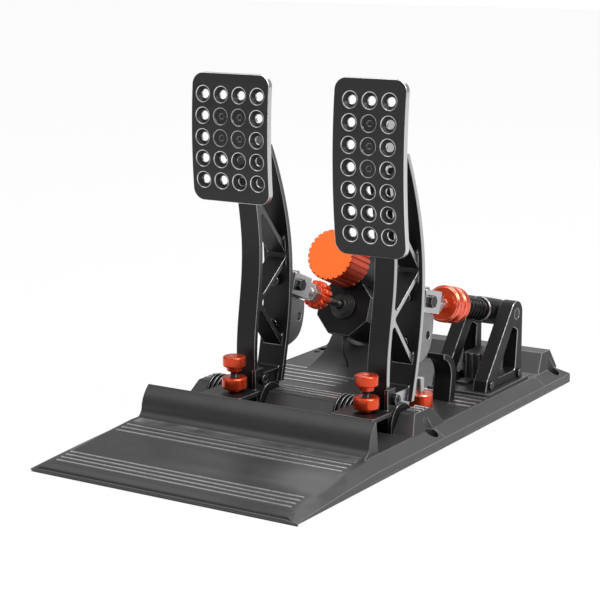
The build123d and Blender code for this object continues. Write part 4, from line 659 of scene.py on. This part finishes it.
def build_floor(scene):
    """A flat square in the plane z = 0, white where it is seen and grey where it sends light."""
    h = FLOOR_HALF
    mesh = bpy.data.meshes.new("floor")
    mesh.from_pydata([(-h, -h, 0), (h, -h, 0), (h, h, 0), (-h, h, 0)], [], [(0, 1, 2, 3)])
    floor = bpy.data.objects.new("floor", mesh)
    scene.collection.objects.link(floor)
    s = Shader("pale floor")
    s.set(Base_Color=(0.7, 0.7, 0.7, 1.0), Roughness=0.9, Specular_IOR_Level=0.1)
    ray = s.node("LightPath").outputs
    seen = s.math("MAXIMUM", ray["Is Camera Ray"],
                  s.math("MAXIMUM", ray["Is Glossy Ray"], ray["Is Transmission Ray"]))
    glow = s.node("Emission", {"Color": WHITE, "Strength": 1.0})
    blend = s.node("MixShader", {0: s.math("MULTIPLY", seen, 0.96),
                                 1: s.surface.outputs["BSDF"], 2: glow.outputs[0]})
    s.put(s.output.inputs["Surface"], blend.outputs[0])
    mesh.materials.append(s.material)


def build_sky(scene, settings):
    """An even dim light, white for the camera and for what is seen through glass, and partly
    white for what metal mirrors."""
    world = bpy.data.worlds.new("even sky")
    scene.world = world
    world.use_nodes = True
    nodes = Nodes(world.node_tree)
    ray = nodes.node("LightPath").outputs
    dim = nodes.node("Background", {"Strength": settings.sky})
    white = nodes.node("Background", {"Color": WHITE, "Strength": 1.0})
    clear = nodes.math("MAXIMUM", ray["Is Camera Ray"], ray["Is Transmission Ray"])
    mirrored = nodes.math("MULTIPLY", ray["Is Glossy Ray"], settings.gloss)
    blend = nodes.node("MixShader", {0: nodes.math("MAXIMUM", clear, mirrored),
                                     1: dim.outputs[0], 2: white.outputs[0]})
    nodes.node("OutputWorld", {"Surface": blend.outputs[0]})


def build_lamps(scene, settings):
    """Square lamps that look at the middle of the set."""
    for name, place, size in LAMPS:
        data = bpy.data.lights.new(name + "_lamp", "AREA")
        data.shape = "RECTANGLE"
        data.size = size
        data.size_y = size
        data.energy = getattr(settings, name)
        lamp = bpy.data.objects.new(name + "_lamp", data)
        lamp.location = place
        lamp.rotation_mode = "QUATERNION"
        lamp.rotation_quaternion = (Vector(LAMP_AIM) - Vector(place)).to_track_quat("-Z", "Y")
        scene.collection.objects.link(lamp)


def build_camera(scene, settings):
    """The photograph's camera. It looks along -back, with back = (sin a cos e, -cos a cos e,
    sin e) for the azimuth a and the elevation e, and is then rolled about that line."""
    data = bpy.data.cameras.new("camera")
    data.lens = settings.lens
    data.sensor_width = 36.0
    data.clip_start = 0.05
    data.clip_end = 50.0
    camera = bpy.data.objects.new("camera", data)
    scene.collection.objects.link(camera)
    az, el, roll = settings.azimuth, settings.elevation, settings.roll
    back = Vector((math.sin(az) * math.cos(el), -math.cos(az) * math.cos(el), math.sin(el)))
    right = Vector((math.cos(az), math.sin(az), 0))
    up = back.cross(right)
    x_axis = right * math.cos(roll) + up * math.sin(roll)
    y_axis = up * math.cos(roll) - right * math.sin(roll)
    camera.rotation_mode = "QUATERNION"
    camera.rotation_quaternion = Matrix((x_axis, y_axis, back)).transposed().to_quaternion()
    camera.location = settings.place
    scene.camera = camera


class PEDALS_OT_stage(bpy.types.Operator):
    """Pale floor, soft lamps, even sky and the camera"""

    bl_idname = "pedals.stage"
    bl_label = "Stage and camera"

    def execute(self, context):
        scene = context.scene
        settings = scene.pedal_stage
        scene.view_settings.view_transform = "Standard"
        build_floor(scene)
        build_sky(scene, settings)
        build_lamps(scene, settings)
        build_camera(scene, settings)
        return {"FINISHED"}


class PEDALS_OT_lead(bpy.types.Operator):
    """Thin sensor lead from the cylinder's flange down into the deck, with a grommet at each end"""

    bl_idname = "pedals.lead"
    bl_label = "Sensor lead"

    def execute(self, context):
        sheath = soft_rubber("lead sheath", context.scene.pedal_finish.rubber, 0.5)
        route = np.array(LEAD_ROUTE) * MM
        curve = bpy.data.curves.new("sensor_lead", "CURVE")
        curve.dimensions = "3D"
        curve.bevel_depth = LEAD_RADIUS * MM
        curve.bevel_resolution = 4
        curve.resolution_u = 16
        curve.use_fill_caps = True
        curve.materials.append(sheath.material)
        spline = curve.splines.new("NURBS")
        spline.points.add(len(route) - 1)
        for point, place in zip(spline.points, route):
            point.co = (*place, 1.0)
        spline.order_u = 3
        spline.use_endpoint_u = True
        lead = add_piece("sensor_lead", curve, "base")
        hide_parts("brake_sensor_lead")
        grommet = rounded(GROMMET, 0.3, closed=True)
        down = route[1] - route[0]
        down /= np.linalg.norm(down)
        ends = ((route[0] + down * GROMMET_SINK * MM, down), (route[-1], (0.0, 0.0, 1.0)))
        turned_row("lead_grommets", ends, grommet, sheath, "base", "rubber", count=36)
        return {"FINISHED"}


class PEDALS_OT_base(bpy.types.Operator):
    """Coated base with edge strips painted lighter as highlight: heel plate, decks, rear beam,
    blocks and sole plate
    """

    bl_idname = "pedals.base"
    bl_label = "Base"

    def execute(self, context):
        finish = context.scene.pedal_finish
        panel = coated_metal("coated panel", shade(finish.panel, 0.8), 0.36, shine=0.55)
        # edge strips: real chamfers in a lighter coat, (0.1, 0.1, 0.102) against the darker panel,
        # as painted edge highlight
        highlit = coated_metal("worn panel edge", (0.1, 0.1, 0.102), 0.36)
        for width, nodes in (
                (0.4, ("heel_plate", "brake_deck", "throttle_deck")),
                (0.5, ("rear_beam", "front_block_left", "front_block_middle",
                       "front_block_right")),
                (0.4, ("stand_sole_plate",))):
            for node in nodes:
                edged(node, panel, highlit, "base", width, smooth_below=8.0,
                      level=level_deck if node.endswith("_deck") else None)
        return {"FINISHED"}


class PEDALS_OT_stand(bpy.types.Operator):
    """Black hinge brackets, cylinder, damper, its stand, the horn and the connector box"""

    bl_idname = "pedals.stand"
    bl_label = "Brackets, cylinder and stand"

    def execute(self, context):
        finish = context.scene.pedal_finish
        casting = coated_metal("black casting", finish.casting, 0.45, shine=0.2)
        satin = coated_metal("satin black cylinder", finish.casting, 0.3, 2400.0, 0.00002,
                             shine=0.22)
        plastic = coated_metal("moulded plastic", (0.03, 0.03, 0.031), 0.42, 900.0, 0.00003)
        # both edge strips are painted highlight on real chamfers: the dimmer one for brackets,
        # cylinder, damper, horn and box, the brighter one for the stand frames
        highlit = machined_metal("worn casting edge", shade(finish.bare, 0.4), 0.34, EVEN, 300.0)
        bright = machined_metal("bright frame edge", shade(finish.bare, 0.55), 0.3, EVEN, 300.0)
        for node, body, coat, edge, width in (
                ("brake_hinge_bracket", "base", casting, highlit, 0.4),
                ("throttle_hinge_bracket", "base", casting, highlit, 0.4),
                ("cylinder_housing", "base", satin, highlit, 0.4),
                ("preload_chamber", "base", satin, highlit, 0.4),
                ("throttle_damper_body", "damper_body", satin, highlit, 0.4),
                ("stand_frame_left", "base", casting, bright, 0.5),
                ("stand_frame_right", "base", casting, bright, 0.5),
                ("guide_horn", "base", casting, highlit, 0.5),
                ("connector_box", "base", plastic, highlit, 0.25)):
            edged(node, coat, edge, body, width)
        return {"FINISHED"}


class PEDALS_OT_pedals(bpy.types.Operator):
    """Arms with machined sides, the brake's in painted shade and the throttle's in painted light;
    plates with hole rims painted bright as highlight; toe plates and lug plates
    """

    bl_idname = "pedals.pedals"
    bl_label = "Arms and plates"

    def execute(self, context):
        finish = context.scene.pedal_finish
        plate = edge_machined("coated plate", finish.plate, shade(finish.bare, 0.8), outer_rim)
        # edge strips of these pieces: real chamfers whose bright colour is painted highlight
        rim = machined_metal("bright hole rim", finish.bare, 0.3, EVEN, 300.0)
        highlit = machined_metal("worn arm edge", shade(finish.bare, 0.5), 0.34, EVEN, 300.0)
        casting = coated_metal("black toe plate", finish.arm, 0.34)
        steel = machined_metal("brushed lug plate", shade(finish.steel, 0.55), 0.36)
        # the share of the bare colour on each arm's machined sides differs only by light: the
        # brake's 0.13 is painted shade, the throttle's 0.6 painted light
        for pedal, side in zip(PEDALS, (0.13, 0.6)):
            arm = edge_machined("coated arm, " + pedal, finish.arm, shade(finish.bare, side),
                                side_faces)
            for part, coat, edge, slot in (("arm", arm, highlit, "black_arm"),
                                           ("plate", plate, rim, "charcoal_plate"),
                                           ("toe_plate", casting, highlit, "black_arm"),
                                           ("lug_plate", steel, rim, "brushed_steel")):
                edged(f"{pedal}_{part}", coat, edge, pedal + "_pedal", 0.35)
        return {"FINISHED"}


class PEDALS_OT_linkage(bpy.types.Operator):
    """Clevises, pins, rods, axles, nuts and screws"""

    bl_idname = "pedals.linkage"
    bl_label = "Linkage and screws"

    def execute(self, context):
        finish = context.scene.pedal_finish
        steel = machined_metal("brushed steel", finish.steel, 0.32)
        # the two lighter edge strips below, on bright and on blackened steel, are painted highlight
        # on real chamfers
        bright = machined_metal("bright steel edge", finish.bare, 0.28, EVEN, 300.0)
        dark = machined_metal("blackened steel", (0.05, 0.05, 0.052), 0.36)
        grey = machined_metal("blackened edge", (0.3, 0.3, 0.31), 0.34)
        polished = machined_metal("polished rod", (0.86, 0.82, 0.78), 0.2, EVEN, 300.0, 0.000008)
        for pedal in PEDALS:
            rod, arm = pedal + "_rod", pedal + "_pedal"
            edged(pedal + "_clevis", steel, bright, rod, 0.4)
            edged(pedal + "_jam_nut", steel, bright, rod, 0.4)
            edged(pedal + "_clevis_pin", dark, grey, rod, 0.3)
            edged(pedal + "_axle", steel, bright, "base", 0.3)
            for part in ("foot_screw", "lug_screws", "plate_screws"):
                edged(f"{pedal}_{part}", dark, grey, arm, 0.25)
        edged("stand_screws", dark, grey, "base", 0.3)
        edged("travel_stop_stud", steel, bright, "base", 0.3)
        dress("brake_piston", steel)
        for node in ("brake_pushrod", "throttle_damper_rod"):
            dress(node, polished)
        return {"FINISHED"}


class PEDALS_OT_adjusters(bpy.types.Operator):
    """Turned thumb screws, lock nuts and wheels"""

    bl_idname = "pedals.adjusters"
    bl_label = "Red adjusters"

    def execute(self, context):
        red = anodised_metal("red anodised turned", context.scene.pedal_finish.red)
        # pink edge strips: painted highlight on the red parts' real chamfers
        pink_highlight = anodised_metal("red anodised edge", (1.0, 0.3, 0.24), 0.22)
        dark = machined_metal("dark thread", (0.07, 0.07, 0.072), 0.38)
        knob = rounded(KNOB, 0.5)
        nut = rounded(LOCK_NUT, 0.6, closed=True)
        # thread: the radius falls and rises once in each pitch, in straight flanks
        heights = np.arange(THREAD_START, THREAD_END, THREAD_PITCH / 4)
        flanks = abs(((heights / THREAD_PITCH) % 1) * 2 - 1)
        thread = [(THREAD_START, 0.0), *zip(heights, THREAD_RADIUS - THREAD_DEPTH * flanks),
                  (THREAD_END + 0.1, THREAD_RADIUS), (THREAD_END + 0.1, 0.0)]
        for pedal in PEDALS:
            screw, lock = pedal + "_stop_screw", pedal + "_lock_nut"
            place, axis = joint_line(pedal + "_stop_turn")
            made = turned(pedal + "_knob", place, axis, knob, red, screw, "red_anodised")
            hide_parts(screw)
            turned(pedal + "_stem", place, axis, thread, dark, screw, "steel", count=40)
            place, axis = joint_line(pedal + "_lock_turn")
            made = turned(pedal + "_nut", place, axis, nut, red, lock, "red_anodised")
            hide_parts(lock)
        for node in ("throttle_preload_wheel", "throttle_lock_wheel", "travel_stop_wheel"):
            edged(node, red, pink_highlight, node, 0.35)
        return {"FINISHED"}


def cap_flutes(height, radius, angle):
    """26 flutes, 1.3 deep, round the cap's outside."""
    groove = np.clip(np.cos(26 * angle) * 2.2 - 0.9, 0, 1)
    return radius - 1.3 * groove * (radius > 20.5)


def nut_lobes(height, radius, angle):
    """12 finger grooves, 2.1 deep, round the length nut's outside."""
    groove = np.clip(np.cos(12 * angle) * 1.25 - 0.25, 0, 1)
    return radius - 2.1 * groove * (radius > 8.0)


class PEDALS_OT_preload(bpy.types.Operator):
    """Fluted preload cap, lobed length nut, elastomers and the folded boot"""

    bl_idname = "pedals.preload"
    bl_label = "Brake preload cap, length nut and boot"

    def execute(self, context):
        finish = context.scene.pedal_finish
        red = anodised_metal("red anodised fluted", finish.red, 0.3, 0.6, 0.1)
        # the cap's darker copy of the red is painted shade, for the deep red seen between its flute
        # edges
        deep = anodised_metal("deep red fluted cap", shade(finish.red, 0.75), 0.3, 0.6, 0.05)
        orange = coated_metal("orange face", finish.orange, 0.5, 2200.0, 0.00001, 0.03)

        # cap: a cup with rings of corners along its side, and a thin orange disc on its face
        place, axis = joint_line("preload_turn")
        shell = rounded(CAP_SHELL, 0.35)
        side = [(h, 22.0) for h in np.linspace(-14.2, 14.6, 12)]
        shell = np.concatenate((shell[:7], side, shell[11:]))
        cap = turned("preload_cap_shell", place, axis, shell, deep, "preload_cap", "red_anodised",
                     count=720, wave=cap_flutes)
        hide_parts("preload_cap")
        turned("preload_cap_face", place, axis, CAP_FACE, orange, "preload_cap", "red_anodised",
               count=520, wave=cap_flutes)

        place, axis = joint_line("brake_length_turn")
        nut = rounded(LENGTH_NUT, 0.5, closed=True)
        made = turned("length_nut_lobed", place, axis, nut, red, "brake_length_nut",
                      "red_anodised", count=360, wave=nut_lobes)
        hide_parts("brake_length_nut")

        # boot: folds over a slowly growing radius, r = 5.6 + 0.45 d + 3.2 sin^2(folds * pi * d /
        # length) at the distance d from the first fold
        pin, _ = joint_line("brake_rod_pivot")
        rubber = soft_rubber("folded boot", finish.rubber, 0.42)
        along = np.linspace(0.0, BOOT_FOLDS_LENGTH, 61)
        swell = np.sin(np.pi * BOOT_FOLDS * along / BOOT_FOLDS_LENGTH) ** 2
        boot = [(BOOT_START, BOOT_BORE), (BOOT_START, 5.4),
                *zip(BOOT_FOLDS_START + along, 5.6 + 0.45 * along + 3.2 * swell),
                (BOOT_END, 8.6), (BOOT_END, BOOT_BORE), (BOOT_START, BOOT_BORE)]
        made = turned("boot_folds", pin, axis, boot, rubber, "base", "rubber", smooth_below=50.0)
        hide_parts("rod_boot")

        # elastomers: discs with a crowned side, in line in the chamber above the rod
        amber = soft_rubber("amber elastomer", (0.22, 0.2, 0.06), 0.45)
        up = np.array((0.0, -axis[2], axis[1]))
        crown = np.linspace(0, 1, 13)
        disc = [(0.3, 0.0), (0.3, 11.8), *zip(0.6 + 27.0 * crown,
                                              12.4 + 0.7 * np.sin(np.pi * crown)),
                (27.9, 11.8), (27.9, 0.0)]
        starts = [ELASTOMER_START + ELASTOMER_PITCH * i for i in range(ELASTOMERS)]
        lines = [(pin + (axis * start + up * CHAMBER_RISE) * MM, axis) for start in starts]
        made = turned_row("elastomer_stack", lines, disc, amber, "base", "elastomer")
        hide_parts("preload_elastomers")
        return {"FINISHED"}


class PEDALS_OT_spring(bpy.types.Operator):
    """Coil spring of the throttle, with flat end turns"""

    bl_idname = "pedals.spring"
    bl_label = "Throttle spring"

    def execute(self, context):
        dark = machined_metal("blackened spring wire", (0.03, 0.03, 0.032), 0.34, EVEN, 500.0)
        trunnion, _ = joint_line("damper_trunnion")
        pin, _ = joint_line("throttle_rod_pivot")
        axis = (trunnion - pin) / np.linalg.norm(trunnion - pin)
        made = tube("throttle_coil", spring_path(pin, axis), SPRING_WIRE * MM, dark,
                    "damper_body", "spring_steel")
        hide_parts("throttle_spring")
        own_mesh(made)
        return {"FINISHED"}


class PEDALS_OT_ribs(bpy.types.Operator):
    """Bare rib tops, the hump's foot, the heel plate's lip and the turned rubber feet"""

    bl_idname = "pedals.ribs"
    bl_label = "Rib tops and feet"

    def execute(self, context):
        finish = context.scene.pedal_finish
        bare = machined_metal("bare rib top", shade(finish.bare, 1.1), 0.3, (24, 1, 1), 300.0)
        boxes = []
        for (first, pitch, count), span in HEEL_RIBS:
            for y in (first + i * pitch for i in range(count)):
                top = heel_height(y) + HEEL_RIB_RISE
                boxes += rib_rows((y, 0.0, 1), (span,), HEEL_RIB_HALF, (top - HEEL_RIB_DEPTH, top))
        boxes += rib_rows(BRAKE_DECK_ROW, (BRAKE_DECK_SPAN,), DECK_RIB_HALF, DECK_RIB_HEIGHTS)
        first, pitch, count = THROTTLE_DECK_ROW
        for row, spans in (((first, pitch, HORN_ROWS), HORN_SPANS),
                           ((first + HORN_ROWS * pitch, pitch, count - HORN_ROWS),
                            (THROTTLE_DECK_SPAN,))):
            boxes += rib_rows(row, spans, DECK_RIB_HALF, DECK_RIB_HEIGHTS)
        for span in BLOCK_SPANS:
            for y in BLOCK_RIBS:
                boxes += rib_rows((y, 0.0, 1), (span,), BLOCK_RIB_HALF, BLOCK_RIB_HEIGHTS)
        bars("deck_rib_tops", boxes, bare, "base", "steel")

        bright = machined_metal("bright foot", shade(finish.bare, 0.5), 0.36, EVEN, 40.0, 0.000002)
        moulding("hump_foot", HUMP_FOOT, [(-HUMP_FOOT_END, HUMP_FOOT_END)] * len(HUMP_FOOT),
                 bright, "base", "steel")

        # lip: its mitred ends draw in by 1.9 for each millimetre above its lowest point
        panel = coated_metal("coated lip", finish.panel, 0.36)
        ends = [HEEL_LIP_END - HEEL_LIP_MITRE * (z - HEEL_LIP[0][1]) for _, z in HEEL_LIP]
        moulding("heel_lip", HEEL_LIP, [(-end, end) for end in ends], panel, "base",
                 "black_panel")

        rubber = soft_rubber("rubber foot", finish.rubber)
        places = [((x * MM, y * MM, 0.0), (0.0, 0.0, 1.0)) for x, y in FOOT_PLACES]
        made = turned_row("rubber_feet", places, rounded(RUBBER_FOOT, 0.5), rubber, "base",
                          "rubber")
        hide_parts("foot_pads")
        return {"FINISHED"}


class PEDALS_PT_panel(bpy.types.Panel):
    """Lists the pieces and finishes"""

    bl_idname = "PEDALS_PT_panel"
    bl_label = "Pedal set"
    bl_space_type = "VIEW_3D"
    bl_region_type = "UI"
    bl_category = "Pedal set"

    def draw(self, context):
        for made in OPERATORS:
            self.layout.operator(made.bl_idname)
        for group in (context.scene.pedal_finish, context.scene.pedal_stage):
            for key in group.bl_rna.properties.keys():
                if key not in ("rna_type", "name"):
                    self.layout.prop(group, key)


OPERATORS = (PEDALS_OT_stage, PEDALS_OT_lead, PEDALS_OT_base, PEDALS_OT_stand, PEDALS_OT_pedals,
             PEDALS_OT_linkage, PEDALS_OT_adjusters, PEDALS_OT_preload, PEDALS_OT_spring,
             PEDALS_OT_ribs)
CLASSES = (FinishSettings, StageSettings, *OPERATORS, PEDALS_PT_panel)


def register():
    for made in CLASSES:
        bpy.utils.register_class(made)
    bpy.types.Scene.pedal_finish = bpy.props.PointerProperty(type=FinishSettings)
    bpy.types.Scene.pedal_stage = bpy.props.PointerProperty(type=StageSettings)


def unregister():
    del bpy.types.Scene.pedal_finish
    del bpy.types.Scene.pedal_stage
    for made in reversed(CLASSES):
        bpy.utils.unregister_class(made)


def main():
    register()
    bpy.ops.pedals.stage()
    bpy.ops.pedals.lead()
    bpy.ops.pedals.base()
    bpy.ops.pedals.stand()
    bpy.ops.pedals.pedals()
    bpy.ops.pedals.linkage()
    bpy.ops.pedals.adjusters()
    bpy.ops.pedals.preload()
    bpy.ops.pedals.spring()
    bpy.ops.pedals.ribs()


if __name__ == "__main__":
    main()
